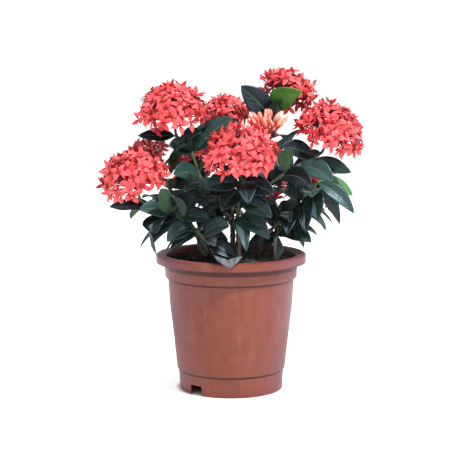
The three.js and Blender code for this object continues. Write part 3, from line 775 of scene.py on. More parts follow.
def makeSoil():
    collar, body, floor = (potShape[k] for k in ("collar", "body", "floor"))
    inset = potShape["wall"] + soilShape["gap"]
    edge = collar["bottomRadius"] - inset
    outline = [
        (0, floor["top"] + soilShape["gap"]),
        (body["bottomRadius"] - inset - floor["corner"], floor["top"] + soilShape["gap"]),
        (body["bottomRadius"] - inset, floor["top"] + floor["corner"] + soilShape["gap"]),
        (body["topRadius"] - inset, collar["bottom"] - collar["shoulder"] - 2),
        (edge, collar["bottom"] + 2),
        (edge, soilShape["top"] - 4),
    ]
    rings = soilShape["rings"]
    outline += [(edge * (1 - i / rings), soilShape["top"]) for i in range(rings + 1)]
    fill = turnedFrom("soil_fill", outline, soilShape["segments"])

    def crumbled(places):
        high = places[:, 2] > (soilShape["top"] - 0.5) * mm
        for i in np.flatnonzero(high):
            x, y = places[i, 0] / mm, places[i, 1] / mm
            places[i, 2] = (soilHeight(x, y) + clods(x, y)) * mm
        return places

    reshaped(fill, crumbled)
    marked(fill, "tint", 0.3)

    draw = random.Random(soilShape["seed"])
    bpy.ops.mesh.primitive_ico_sphere_add(subdivisions=1, radius=mm)
    crumb = bpy.context.object
    rough = soilShape["crumbRoughness"]
    reshaped(crumb, lambda places: places * np.array([[draw.uniform(*rough)] for _ in places]))
    crumbs = []
    for _ in range(soilShape["crumbs"]):
        far = (edge - 2) * math.sqrt(draw.random())
        turn = draw.uniform(0, 2 * math.pi)
        x, y = far * math.cos(turn), far * math.sin(turn)
        low, high = soilShape["crumbSize"]
        size = low + (high - low) * draw.random() ** 3
        tilt = Matrix.Rotation(draw.uniform(0, math.pi), 4, Vector((draw.random(), draw.random(), 0.3)))
        long, thick = draw.uniform(*soilShape["crumbLength"]), draw.uniform(*soilShape["crumbHeight"])
        stretch = Matrix.Diagonal((size * long, size, size * thick, 1))
        height = soilHeight(x, y) + clods(x, y) + soilShape["crumbRise"] * size
        copy = copyOf(crumb)
        copy.data.transform(Matrix.Translation(Vector((x, y, height)) * mm) @ tilt @ stretch)
        marked(copy, "tint", draw.random())
        crumbs.append(copy)
    removed(crumb)
    soil = joined("soil_fill", [fill, *crumbs])
    soil.data.materials.clear()
    soil.data.materials.append(looks["soil"])
    smooth(soil, 50)
    handedIn(soil, "soil")


makeSoil()
print("soil made")

# The plant's plan, in mm. Each rooted stem runs up from the soil to the fork that its branches start from
rootedStems = {
    "left": [(-18, -6, 175), (-24, -9, 184), (-30, -10, 202)],
    "front_left": [(-12, -46, 175), (-16, -50, 183), (-22, -53, 192)],
    "centre": [(8, -26, 175), (10, -30, 188), (10, -35, 212)],
    "right": [(36, -4, 175), (37, -5, 184), (40, -8, 202)],
    "back": [(0, 30, 175), (2, 38, 188), (2, 44, 212)],
    "back_left": [(-36, 22, 175), (-41, 27, 184), (-44, 31, 198)],
    "back_right": [(44, 32, 175), (50, 35, 185), (56, 37, 196)],
}


def leaf(at, tip, width, **more):
    return {"at": at, "tip": tip, "width": width, "arch": 0, "roll": 0, "tone": None, **more}


# A shoot starts at its stem's fork, is woody for the first part of its way, and ends under its
# head. Places along it count the points of its path: 0 is the fork, 1 the first point, and so
# on. Listed leaves have such a place, a tip and a width, and pairs more grow by the rule.
shoots = [
    {
        "name": "upper_left", "stem": "left", "woody": 0.8, "pairs": 4, "phase": 70, "reach": (0.95, 2.7),
        "path": [(-36, -10, 260), (-50, -6, 312), (-61, -1, 330)],
        "head": {"at": (-75, 2, 361), "radius": 45, "lean": (-0.12, -0.2, 0.97), "spread": 86},
        "leaves": [
            leaf(4.03, (-123, 3, 338), 22, roll=-46, tone=0.05),
            leaf(3.65, (-39, -15, 344), 24, roll=50, tone=0.35),
            leaf(2.07, (3, 5, 362), 30, arch=0.07, roll=54, tone=0.3),
            leaf(2.3, (-32, -30, 336), 24, arch=0.06, roll=65, tone=0.6),
            leaf(2.1, (-80, -34, 328), 27, arch=0.08, roll=-65, tone=0.3),
            leaf(1.4, (-74, -50, 292), 28, arch=0.1, roll=-65, tone=0.5),
            leaf(0.95, (-53, -58, 256), 28, arch=0.12, roll=-60, tone=0.15),
        ],
    },
    {
        "name": "far_left", "stem": "left", "woody": 0.7, "pairs": 2, "phase": 20, "reach": (1.1, 2.3),
        "path": [(-58, -16, 222), (-86, -16, 240)],
        "head": {"at": (-124, -22, 275), "radius": 45, "lean": (-0.3, -0.25, 0.92), "spread": 86},
        "leaves": [
            leaf(2.5, (-162, 0, 244), 25, arch=0.02, roll=-35, tone=0.05),
        ],
    },
    {
        "name": "back_left", "stem": "back_left", "woody": 0.5, "pairs": 3, "phase": 10,
        "reach": (0.8, 2.9),
        "path": [(-66, 40, 236), (-84, 45, 264)],
        "head": {"at": (-109, 50, 306), "radius": 30, "lean": (-0.4, 0.1, 0.9)},
        "leaves": [
            leaf(2.5, (-90, 10, 306), 18, arch=0.04, roll=80, tone=0.95),
            leaf(1.96, (-36, 35, 277), 28, arch=0.09, roll=50, tone=0.2),
        ],
    },
    {
        "name": "centre", "stem": "centre", "woody": 0.4, "pairs": 2, "phase": 10, "reach": (1, 1.9),
        "path": [(9, -47, 245)],
        "head": {"at": (13, -72, 308), "radius": 48, "lean": (0, -0.34, 0.94), "spread": 83},
        "leaves": [
            leaf(1.87, (-33, -77, 276), 27, arch=0.1, roll=-61, tone=0.2),
            leaf(1.6, (-12, -92, 249), 28, arch=0.12, roll=-40, tone=0.1),
            leaf(1.75, (56, -84, 270), 27, arch=0.1, roll=60, tone=0.05),
            leaf(1.3, (52, -88, 240), 25, arch=0.1, roll=55, tone=0.2),
            leaf(0.6, (49, -90, 213), 27, arch=0.14, roll=50, tone=0.3),
            leaf(0.75, (20, -86, 196), 20, arch=0.16, roll=10, tone=0.35),
        ],
    },
    {
        "name": "right", "stem": "right", "woody": 0.8, "pairs": 3, "phase": 60, "reach": (1, 2.6),
        "path": [(36, -18, 240), (46, -26, 272), (88, -26, 300)],
        "head": {"at": (128, 4, 335), "radius": 45, "lean": (0.38, -0.26, 0.88)},
        "leaves": [
            leaf(3.67, (65, -31, 326), 26, arch=0.06, roll=-70, tone=0.1),
            leaf(3.58, (157, -29, 292), 22, roll=55, tone=0.35),
            leaf(2.8, (58, -26, 317), 26, roll=-72, tone=0.2),
            leaf(3, (132, -56, 283), 28, arch=0.12, roll=50, tone=0.5),
            leaf(2.5, (104, -64, 278), 28, arch=0.12, roll=50, tone=0.05),
            leaf(4.16, (82, 31, 294), 26, arch=0.03, roll=-35, tone=0.15),
        ],
    },
    {
        "name": "top", "stem": "right", "woody": 0.5, "pairs": 4, "phase": 35, "reach": (0.9, 2.5),
        "path": [(42, 18, 262), (50, 24, 332)],
        "head": {"at": (72, 60, 384), "radius": 40, "lean": (0.4, 0.4, 0.82), "spread": 80},
        "leaves": [
            leaf(2.65, (13, 27, 403), 34, arch=0.02, roll=-90, tone=0.12),
            leaf(3.1, (94, -2, 395), 32, via=(59, 12, 397), roll=130, tone=0.9),
        ],
    },
    {
        "name": "behind_middle", "stem": "back", "woody": 0.4, "pairs": 4, "phase": 0, "reach": (0.6, 1.95),
        "path": [(0, 52, 270)],
        "head": {"at": (-9, 64, 352), "radius": 36, "lean": (-0.1, 0.2, 0.95)},
    },
    {
        "name": "budding", "stem": "centre", "woody": 0.6, "pairs": 2, "phase": 80, "reach": (1, 1.8),
        "path": [(26, -22, 255), (40, -12, 296)],
        "head": {"at": (48, -10, 330), "radius": 46, "lean": (-0.05, -0.2, 1), "spread": 44, "buds": True},
        "leaves": [
            leaf(2.59, (91, 27, 345), 21, arch=0.02, roll=3, tone=0.4),
        ],
    },
    {
        "name": "back_right", "stem": "back_right", "woody": 0.4, "pairs": 4, "phase": 15,
        "reach": (0.6, 1.95),
        "path": [(80, 46, 222)],
        "head": {"at": (112, 70, 258), "radius": 34, "lean": (0.5, 0.5, 0.7)},
        "leaves": [
            leaf(1.25, (63, 17, 240), 28, arch=0.03, roll=-60, tone=0.2),
        ],
    },
    {
        "name": "behind_left", "stem": "back", "woody": 0.4, "pairs": 4, "phase": 50, "reach": (0.6, 1.95),
        "path": [(-18, 64, 240)],
        "head": {"at": (-46, 84, 290), "radius": 36, "lean": (-0.25, 0.6, 0.75)},
    },
    {
        "name": "behind_right", "stem": "back", "woody": 0.5, "pairs": 4, "phase": 15, "reach": (0.7, 1.95),
        "path": [(22, 60, 230)],
        "head": {"at": (46, 83, 266), "radius": 36, "lean": (0.25, 0.65, 0.7)},
    },
    {
        "name": "low_left", "stem": "front_left", "woody": 0.35, "pairs": 2, "phase": 0,
        "reach": (1.3, 2.3),
        "path": [(-37, -54, 212), (-56, -42, 228), (-74, -30, 240)],
        "leaves": [
            leaf(2.98, (-90, -86, 276), 27, roll=72, tone=0.35),
            leaf(2.98, (-118, -60, 247), 26, arch=0.06, roll=-60, tone=0.5),
            leaf(2.7, (-106, -34, 229), 22, arch=0.06, roll=-55, tone=0.1),
            leaf(2.67, (-27, -53, 234), 28, arch=0.04, roll=38, tone=0.35),
            leaf(2.8, (-96, -66, 190), 25, via=(-122, -56, 236), roll=-30, tone=0.05),
            leaf(1.7, (-82, -70, 207), 26, arch=0.12, roll=-50, tone=0.3),
            leaf(1, (-2, -88, 229), 27, arch=0.12, roll=65, tone=0.3),
            leaf(0.6, (-20, -82, 203), 16, arch=0.18, roll=35, tone=0.3, withered=True),
            leaf(0.81, (9, -63, 184), 24, arch=0.02, roll=50, tone=0.1),
            leaf(1.26, (-80, -41, 193), 26, arch=0.03, roll=-35, tone=0.05),
            leaf(0.87, (-4, -19, 203), 28, arch=0.05, roll=50, tone=0.1),
            leaf(1.33, (-28, -23, 184), 26, arch=0.03, roll=80, tone=0.1),
        ],
    },
    {
        "name": "low_right", "stem": "right", "woody": 0.6, "pairs": 3, "phase": 75, "reach": (0.9, 2.2),
        "path": [(70, -22, 232), (98, -24, 256), (112, -22, 278)],
        "leaves": [
            leaf(2.98, (161, -10, 260), 24, arch=0.1, roll=60, tone=0.8),
            leaf(2.98, (161, -34, 239), 22, arch=0.12, roll=55, tone=0.45),
            leaf(2.8, (144, -12, 222), 27, arch=0.18, roll=60, tone=0.05),
            leaf(2.3, (112, -54, 232), 29, arch=0.16, roll=30, tone=0.2),
            leaf(1.8, (96, -62, 218), 27, arch=0.18, roll=20, tone=0.1),
            leaf(1.3, (72, -70, 216), 25, arch=0.16, roll=5, tone=0.15),
        ],
    },
    {
        "name": "rim_right", "stem": "right", "woody": 0.6, "pairs": 0, "phase": 0, "reach": (0, 0),
        "path": [(56, 2, 205), (68, 4, 206)],
        "leaves": [
            leaf(1.95, (106, -22, 199), 25, arch=0.14, roll=45, tone=0.4),
            leaf(1.95, (110, 12, 212), 20, arch=0.12, roll=40, tone=0.35),
            leaf(1.4, (84, -46, 206), 22, arch=0.14, roll=40, tone=0.2),
            leaf(1.53, (57, -44, 179), 24, arch=0.02, roll=-60, tone=0.1),
            leaf(1.5, (22, 22, 187), 28, arch=0.05, roll=-50, tone=0.1),
        ],
    },
    {
        "name": "low_back_left", "stem": "back_left", "woody": 0.5, "pairs": 3, "phase": 65,
        "reach": (0.78, 1.95),
        "path": [(-64, 42, 214), (-88, 54, 228)],
        "leaves": [
            leaf(0.8, (-76, 12, 204), 24, arch=0.12, roll=-50, tone=0.1),
            leaf(1.57, (-44, -12, 241), 23, arch=0.04, roll=77, tone=0.15),
            leaf(1.78, (-70, 14, 250), 26, arch=0.1, roll=90, tone=0.2),
        ],
    },
    {
        "name": "low_back_right", "stem": "back_right", "woody": 0.4, "pairs": 3, "phase": 20,
        "reach": (0.6, 1.95),
        "path": [(66, 58, 214), (78, 80, 230)],
        "leaves": [
            leaf(0.8, (34, 20, 232), 26, arch=0.06, roll=-60, tone=0.1),
            leaf(1.32, (100, 55, 213), 25, arch=0.15, roll=72, tone=0.15),
            leaf(1.4, (38, 56, 222), 26, arch=0.04, roll=-60, tone=0.1),
            leaf(1.44, (106, 65, 238), 25, arch=0.02, roll=69, tone=0.2),
        ],
    },
    {
        "name": "low_back", "stem": "back", "woody": 0.4, "pairs": 3, "phase": 40, "reach": (0.78, 1.95),
        "path": [(-6, 66, 222), (-12, 84, 232)],
        "leaves": [
            leaf(0.7, (-39, 38, 204), 25, arch=0.05, roll=-52, tone=0.1),
            leaf(1.2, (-53, 55, 221), 26, arch=0.04, roll=-61, tone=0.1),
            leaf(1.43, (21, 61, 249), 25, arch=0.01, roll=71, tone=0.2),
            leaf(1.8, (-54, 60, 250), 27, arch=0.04, roll=-60, tone=0.1),
        ],
    },
]

fallenLeaf = {
    "root": (-6, -64, 175.1), "via": (-3, -98, 197.2), "tip": (-2, -106, 178), "width": 37, "roll": 0,
}

# How a stem and a head are set out, and how the leaf pairs grow that aren't listed one by one
layout = {
    "rootDepth": 24,
    "gap": 0.35,
    "coreDepth": 8,
    "approach": 16,
    "coreShare": 0.52,
    "budCoreShare": 0.3,
    "spread": 90,
    "petalReach": 12,
    "fold": 0.22,
    "tiltOut": 0.3,
}
pairRule = {
    "seed": 20261,
    "length": (46, 62),
    "widthShare": (0.45, 0.53),
    "angle": (54, 74),
    "droop": (0.05, 0.3),
    "arch": (0.12, 0.22),
    "roll": 14,
    "wander": 12,
}

# Ways round a neighbour that are tried in turn: swing and lift in degrees, share of length
detours = [
    (0, 0, 1), (0, 12, 1), (0, -14, 1), (16, 0, 1), (-16, 0, 1), (26, 12, 0.92), (-26, 12, 0.92),
    (26, -12, 0.92), (-26, -12, 0.92), (42, 0, 0.85), (-42, 0, 0.85), (0, 28, 0.8), (0, -30, 0.8),
]
clearance = {
    "blade": 5.5, "head": 6, "under": 4, "wall": 8, "beside": 5, "overRim": 8, "overSoil": 3,
}
samples = {"shoot": 40, "trunk": 10}  # along each, when leaves are kept clear of it
upward = np.array([0.0, 0.0, 1.0])


def unit(way):
    return way / np.linalg.norm(way, axis=-1, keepdims=True)


def between(pair, share):
    return pair[0] + (pair[1] - pair[0]) * share


class Path:
    # a smooth curve through its places
    def __init__(self, places):
        self.places = [np.array(place, dtype=float) for place in places]

    def point(self, share):
        places = self.places
        last = len(places) - 1
        at = last * share
        i = min(int(at), last - 1)
        w = at - i
        p1, p2 = places[i], places[i + 1]
        p0 = places[i - 1] if i > 0 else 2 * p1 - p2
        p3 = places[i + 2] if i + 2 <= last else 2 * p2 - p1
        t0, t1 = 0.5 * (p2 - p0), 0.5 * (p3 - p1)
        return p1 + t0 * w + (-3 * p1 + 3 * p2 - 2 * t0 - t1) * w**2 + (2 * p1 - 2 * p2 + t0 + t1) * w**3

    def heading(self, share):
        step = 0.0001
        return unit(self.point(min(share + step, 1)) - self.point(max(share - step, 0)))

    def share(self, place):
        return place / (len(self.places) - 1)


def drawsFrom(seed):
    # Park-Miller generator: the same draws on any machine
    state = seed
    while True:
        state = state * 16807 % 2147483647
        yield state / 2147483647


def headAxis(head):
    return unit(np.array(head["lean"], dtype=float))


def coreRadius(head):
    return layout["budCoreShare" if head.get("buds") else "coreShare"] * head["radius"]


def belowHead(head, far):
    return np.array(head["at"]) - headAxis(head) * (layout["coreDepth"] + layout["gap"] + far)


def trunkPath(places):
    foot = places[0]
    return Path([(foot[0], foot[1], soilShape["top"] - layout["rootDepth"]), *places])


def shootPath(shoot):
    places = [rootedStems[shoot["stem"]][-1], *shoot["path"]]
    if "head" in shoot:
        places += [belowHead(shoot["head"], layout["approach"]), belowHead(shoot["head"], 0)]
    return Path(places)


def leafTo(root, tip, plan):
    # a leaf by its root, its tip and how high its middle stands above the straight line
    tip = np.array(tip, dtype=float)
    length = np.linalg.norm(tip - root)
    via = np.array(plan["via"], dtype=float) if "via" in plan else (
        (root + tip) / 2 + upward * 2 * plan["arch"] * length
    )
    return {**plan, "root": root, "tip": tip, "via": via}


def redirected(leaf, detour):
    # the same leaf swung about the vertical, lifted and shortened
    swing, lift, share = detour
    if detour == detours[0]:
        return leaf

    def turned(place):
        way = place - leaf["root"]
        heading = math.atan2(way[1], way[0]) + math.radians(swing)
        height = math.atan2(way[2], math.hypot(way[0], way[1])) + math.radians(lift)
        flat = math.cos(height)
        ahead = np.array([math.cos(heading) * flat, math.sin(heading) * flat, math.sin(height)])
        return leaf["root"] + ahead * np.linalg.norm(way) * share

    return {**leaf, "tip": turned(leaf["tip"]), "via": turned(leaf["via"]), "width": leaf["width"] * share}


def bladePlaces(leaf, shares, sides, halfWidths):
    # places on a blade, and the way out of it there, for shares of its length and sides -1 to 1
    shares, sides, halfWidths = (np.asarray(v, dtype=float)[:, None] for v in (shares, sides, halfWidths))
    rest = 1 - shares
    middle = leaf["root"] * rest**2 + leaf["via"] * 2 * rest * shares + leaf["tip"] * shares**2
    along = unit((leaf["via"] - leaf["root"]) * rest + (leaf["tip"] - leaf["via"]) * shares)
    outward = unit((leaf["tip"] - leaf["root"]) * [1, 1, 0])
    across = unit(np.cross(along, upward - layout["tiltOut"] * outward))
    roll = math.radians(leaf["roll"])
    across = across * math.cos(roll) + np.cross(along, across) * math.sin(roll)
    out = np.cross(across, along)
    return middle + across * sides * halfWidths + out * np.abs(sides) * halfWidths * layout["fold"], out


def bladeSamples(leaf):
    # nine rows of five places, from a fifth of the way along to the tip
    shares = np.repeat(np.arange(2, 11) / 10, 5)
    sides = np.tile([-1, -0.5, 0, 0.5, 1], 9)
    halfWidths = leaf["width"] / 2 * np.sin(np.pi * shares) ** 0.7
    return bladePlaces(leaf, shares, sides, halfWidths)[0]


def pairLeaves(shoot, path, draws):
    leaves = []
    for pair in range(shoot["pairs"]):
        share = pair / (shoot["pairs"] - 1) if shoot["pairs"] > 1 else 0.5
        at = path.share(between(shoot["reach"], share))
        root, along = path.point(at), path.heading(at)
        sideways = unit(np.array([1.0, 0, 0]) - along * along[0])
        beside = np.cross(along, sideways)
        for half in range(2):
            wander = (next(draws) - 0.5) * 2 * pairRule["wander"]
            turn = math.radians(shoot["phase"] + 90 * pair + 180 * half + wander)
            angle = math.radians(between(pairRule["angle"], next(draws)))
            length = between(pairRule["length"], next(draws))
            width = length * between(pairRule["widthShare"], next(draws))
            droop = between(pairRule["droop"], next(draws))
            arch = between(pairRule["arch"], next(draws))
            roll = (next(draws) - 0.5) * 2 * pairRule["roll"]
            around = sideways * math.cos(turn) + beside * math.sin(turn)
            tip = root + length * (along * math.cos(angle) + around * math.sin(angle) - upward * droop)
            place = at * (len(path.places) - 1)
            plan = {"at": place, "width": width, "arch": arch, "roll": roll, "tone": None}
            leaves.append(leafTo(root, tip, plan))
    return leaves


def insideHead(points, head):
    way = points - np.array(head["at"])
    distance = np.linalg.norm(way, axis=1)
    axis = headAxis(head)
    height = way @ axis
    spread = math.radians(head.get("spread", layout["spread"]) + layout["petalReach"])
    inCore = (distance < coreRadius(head) + layout["coreDepth"]) & (
        height > -layout["coreDepth"] - clearance["under"]
    )
    inDome = np.arccos(np.clip(height / distance, -1, 1)) < spread
    return np.any((distance <= head["radius"] + clearance["head"]) & (inDome | inCore))


def againstPot(points):
    far = np.hypot(points[:, 0], points[:, 1])
    inside = far < potShape["collar"]["bottomRadius"] - clearance["wall"]
    overSoil = points[:, 2] < soilShape["top"] + clearance["overSoil"]
    overRim = points[:, 2] < potHigh.z / mm + clearance["overRim"]
    overEdge = (far < potShape["rim"]["radius"] + clearance["beside"]) & overRim
    return np.any(np.where(inside, overSoil, overEdge))


def growLeaves():
    # every leaf of the plant, those listed first, each bent clear of its neighbours
    draws = drawsFrom(pairRule["seed"])
    paths = {shoot["name"]: shootPath(shoot) for shoot in shoots}
    taken, owners = [], []

    def take(point, owner):
        taken.append(point)
        owners.append(owner)

    for shoot in shoots:
        path = paths[shoot["name"]]
        for i in range(samples["shoot"] + 1):
            share = i / samples["shoot"]
            take(path.point(share), "wood" if share < path.share(shoot["woody"]) else shoot["name"])
    for places in rootedStems.values():
        for i in range(samples["trunk"] + 1):
            take(trunkPath(places).point(i / samples["trunk"]), "wood")
    fallen = leafTo(np.array(fallenLeaf["root"]), fallenLeaf["tip"], fallenLeaf)
    for point in bladeSamples(fallen):
        take(point, "fallen")
    grown = {shoot["name"]: [] for shoot in shoots}

    def place(name, leaf):
        others = np.array([point for point, owner in zip(taken, owners) if owner != name])
        for detour in detours:
            tried = redirected(leaf, detour)
            points = bladeSamples(tried)
            if againstPot(points) or any(insideHead(points, s["head"]) for s in shoots if "head" in s):
                continue
            nearest = np.min(np.linalg.norm(points[:, None] - others[None], axis=2))
            if nearest >= clearance["blade"]:
                grown[name].append(tried)
                for point in points:
                    take(point, name)
                return

    for shoot in shoots:
        path = paths[shoot["name"]]
        for plan in shoot.get("leaves", []):
            place(shoot["name"], leafTo(path.point(path.share(plan["at"])), plan["tip"], plan))
    for shoot in shoots:
        for plan in pairLeaves(shoot, paths[shoot["name"]], draws):
            place(shoot["name"], plan)
    return grown, fallen


grownLeaves, fallenPlan = growLeaves()
print("leaves placed:", sum(len(leaves) for leaves in grownLeaves.values()))

# Woody stems, in mm
woodShape = {
    "trunkRadius": 4.1,
    "trunkTaper": (1, 0.92),
    "branchRadius": 2.9,
    "branchTaper": (1.1, 0.86),
    "knotEvery": 17,  # mm between old leaf nodes
    "knot": 0.16,
    "rings": (30, 26),  # along a trunk and a branch
    "voxel": 0.85,
    "knobbly": 0.32,
}


def rodAlong(path, start, end, radii, count):
    # places and radii along part of a path, with a swelling at each old leaf node
    places = [path.point(between((start, end), i / (count - 1))) for i in range(count)]
    run, sizes = 0, []
    for i, place in enumerate(places):
        run += np.linalg.norm(place - places[i - 1]) if i else 0
        swell = max(0, math.cos(2 * math.pi * run / woodShape["knotEvery"])) ** 8
        sizes.append(between(radii, i / (count - 1)) * (1 + woodShape["knot"] * swell))
    return places, sizes


def makeWood(name, places):
    trunk = [woodShape["trunkRadius"] * share for share in woodShape["trunkTaper"]]
    branch = [woodShape["branchRadius"] * share for share in woodShape["branchTaper"]]
    trunkRings, branchRings = woodShape["rings"]
    runs = [rodAlong(trunkPath(places), 0, 1, trunk, trunkRings)]
    for shoot in shoots:
        if shoot["stem"] == name:
            path = shootPath(shoot)
            runs.append(rodAlong(path, 0, path.share(shoot["woody"]), branch, branchRings))
    wood = tubesThrough("wood_" + name, runs, sides=8)
    modified(wood, "REMESH", mode="VOXEL", voxel_size=woodShape["voxel"] * mm)
    modified(wood, "SMOOTH", factor=0.5, iterations=3)

    def knobbly(coordinates):
        for i, place in enumerate(coordinates):
            spot = Vector(place) / mm
            push = noise.noise(Vector((spot.x * 0.5, spot.y * 0.5, spot.z * 0.12)))
            push += 0.6 * noise.noise(spot * 0.9)
            normal = np.array(wood.data.vertices[i].normal)
            coordinates[i] = place + normal * push * woodShape["knobbly"] * mm
        return coordinates

    reshaped(wood, knobbly)
    wood.data.materials.append(looks["bark"])
    smooth(wood, 180)
    handedIn(wood, "stem_" + name)


for stemName, stemPlaces in rootedStems.items():
    makeWood(stemName, stemPlaces)
print("woody stems made")

# Leafy shoots. A leaf is one flat sheet of length and width 1, bent and sized for each place
bladeShape = {
    "columns": 8,
    "rows": 16,
    "stalkShare": 0.055,  # of the length
    "stalkWidth": 0.075,  # of the blade's width
    "thickness": 0.75,
    "fullness": (0.86, 0.78),  # powers that place the widest part and fill the outline
    "groove": 0.008,
    "wave": 0.05,
    "rib": ((0, 1.15), (0.08, 0.85), (0.86, 0.3)),  # share of the length, radius
    "crinkle": {"hanging": 1.6, "fallen": 1.2, "scales": (0.16, 0.21)},
    "seed": 11,
}
shootShape = {"radius": 2.1, "topRadius": 1.7, "nodeSwell": 0.35, "nodeLength": 0.02, "rings": 28}


def outlineShare(share):
    # the blade's half-width at a share of its length, as a share of its greatest
    if share < bladeShape["stalkShare"]:
        return bladeShape["stalkWidth"]
    run = (share - bladeShape["stalkShare"]) / (1 - bladeShape["stalkShare"])
    widest, full = bladeShape["fullness"]
    return max(bladeShape["stalkWidth"], math.sin(math.pi * run**widest) ** full)


def makeBlade():
    # a flat sheet with a grid of faces, narrowed row by row to the leaf's outline
    rows = bladeShape["rows"]
    bpy.ops.mesh.primitive_grid_add(
        x_subdivisions=bladeShape["columns"], y_subdivisions=rows, size=1, location=(0, 0.5, 0)
    )
    sheet = settled(bpy.context.object)
    for row in range(rows + 1):
        height = row / rows
        pick(sheet, lambda place: abs(place.y - height) < 0.4 / rows)
        if row == rows:
            bpy.ops.mesh.merge(type="CENTER")
        else:
            bpy.ops.transform.resize(value=(outlineShare(height), 1, 1))
    pick(sheet, lambda place: abs(place.x) < 1e-4)
    bpy.ops.transform.translate(value=(0, 0, -bladeShape["groove"]))
    bpy.ops.object.mode_set(mode="OBJECT")
    sheet.data.materials.append(looks["leaf"])
    sheet.data.materials.append(looks["leafUnder"])
    return sheet


blade = makeBlade()
leafDraw = random.Random(bladeShape["seed"])


def bentBlade(plan):
    # a copy of the flat blade laid along the leaf's middle line
    copy = copyOf(blade)
    phase = leafDraw.uniform(0, 2 * math.pi)
    wave = bladeShape["wave"] * leafDraw.uniform(0.3, 1)
    length = np.linalg.norm(plan["tip"] - plan["root"])

    def bent(places):
        halfWidth = np.full(len(places), plan["width"] / 2)
        sides = places[:, 0] * 2
        spots, out = bladePlaces(plan, places[:, 1], sides, halfWidth)
        ripple = wave * plan["width"] * np.sin(places[:, 1] * 9 + phase + np.sign(sides)) * sides**2
        return (spots + out * (places[:, 2] * length + ripple)[:, None]) * mm

    reshaped(copy, bent)
    tone = plan.get("tone")
    marked(copy, "tint", leafDraw.uniform(0, 0.5) ** 1.2 if tone is None else tone)
    return copy


def midribRun(plan):
    # the stalk, and the rib that stands out under the blade
    places, sizes = zip(*bladeShape["rib"])
    shares = np.linspace(0, places[-1], 9)
    spots, out = bladePlaces(plan, shares, np.zeros(9), np.zeros(9))
    radii = np.interp(shares, places, sizes)
    return spots - out * (0.3 + radii * 0.5)[:, None], radii


def crinkled(piece, depth):
    # dried out: pushed in and out by noise
    upScale, acrossScale = bladeShape["crinkle"]["scales"]

    def pushed(places):
        for i, place in enumerate(places):
            spot = Vector(place) / mm
            places[i, 2] += depth * mm * noise.noise(spot * upScale)
            places[i, 0] += 0.5 * depth * mm * noise.noise(spot * acrossScale + Vector((7, 3, 5)))
        return places

    return reshaped(piece, pushed)


def makeShoot(shoot):
    path = shootPath(shoot)
    plans = grownLeaves[shoot["name"]]
    start = path.share(shoot["woody"])
    shares = np.linspace(start, 1, shootShape["rings"])
    nodes = [path.share(plan["at"]) for plan in plans]
    radii = np.interp(shares, [start, 1], [shootShape["radius"] * 1.1, shootShape["topRadius"]])
    for i, share in enumerate(shares):
        near = min((abs(share - node) for node in nodes), default=1)
        radii[i] *= 1 + shootShape["nodeSwell"] * math.exp(-((near / shootShape["nodeLength"]) ** 2))
    runs = [([path.point(share) for share in shares], radii)]
    runs += [midribRun(plan) for plan in plans]
    stalks = tubesThrough("stalks", runs, sides=8)
    heights = placesOf(stalks)[:, 2]
    marked(stalks, "tint", np.clip(1.15 - (heights - heights.min()) / (0.6 * np.ptp(heights)), 0, 1))
    stalks.data.materials.append(looks["stem"])
    fresh = [bentBlade(plan) for plan in plans if not plan.get("withered")]
    dry = [bentBlade(plan) for plan in plans if plan.get("withered")]
    for copy in dry:
        for i in range(2):
            copy.data.materials[i] = looks["withered"]
        crinkled(copy, bladeShape["crinkle"]["hanging"])
    blades = joined("blades", fresh + dry)
    modified(blades, "SOLIDIFY", thickness=bladeShape["thickness"] * mm, offset=0, material_offset=1)
    foliage = joined("foliage_" + shoot["name"], [blades, stalks])
    smooth(foliage, 180)
    handedIn(foliage, "shoot_" + shoot["name"])


for shoot in shoots:
    makeShoot(shoot)
print("leafy shoots made")


def makeFallenLeaf():
    fallen = bentBlade({**fallenPlan, "tone": 0})
    crinkled(fallen, bladeShape["crinkle"]["fallen"])
    fallen.data.materials.clear()
    fallen.data.materials.append(looks["withered"])
    modified(fallen, "SOLIDIFY", thickness=bladeShape["thickness"] * mm, offset=0)
    fallen.name = "withered_leaf"
    smooth(fallen, 180)
    handedIn(fallen, "fallen_leaf")


makeFallenLeaf()
print("fallen leaf made")

# Flower heads, in mm: a floret is four petals on a throat and a tube, and a head is a dome of them
floretShape = {
    # distance from the middle, half-width and height of each row of a petal, in mm
    "open": [(1.3, 0.92, 0), (5.2, 3.6, 0.6), (9.4, 2.9, 0.4), (14.4, 0, -0.8)],
    "reflexed": [(1.3, 0.92, 0), (5.2, 3.6, 0.2), (9.2, 2.9, -1.5), (13.4, 0, -4.6)],
    "cupped": [(1.3, 0.92, 0), (4.8, 3.4, 1.9), (8.2, 2.7, 4.2), (12.4, 0, 7.2)],
    "crease": 0.55,  # mm that a petal's middle line stands above its edges
    "throatSides": 8,
    "dimple": 1.2,
    "funnel": 5,
    "funnelEnd": 0.4,
    "style": 2.6,
    "styleRadii": (0.35, 0.1),
    "tubeRadius": 0.75,
    "calyxRadius": 1.2,
    # radius and height of a bud below its point, then radius and share of the way down its tube
    "budTip": [(0, -18), (0.85, -17), (1.7, -12.5), (2.75, -10), (2.9, -7.5), (1.9, -3.4), (0, 0)],
    "budTube": [(1.15, -1), (1.0, -0.92), (0.7, -0.89), (0.8, -0.2)],
}
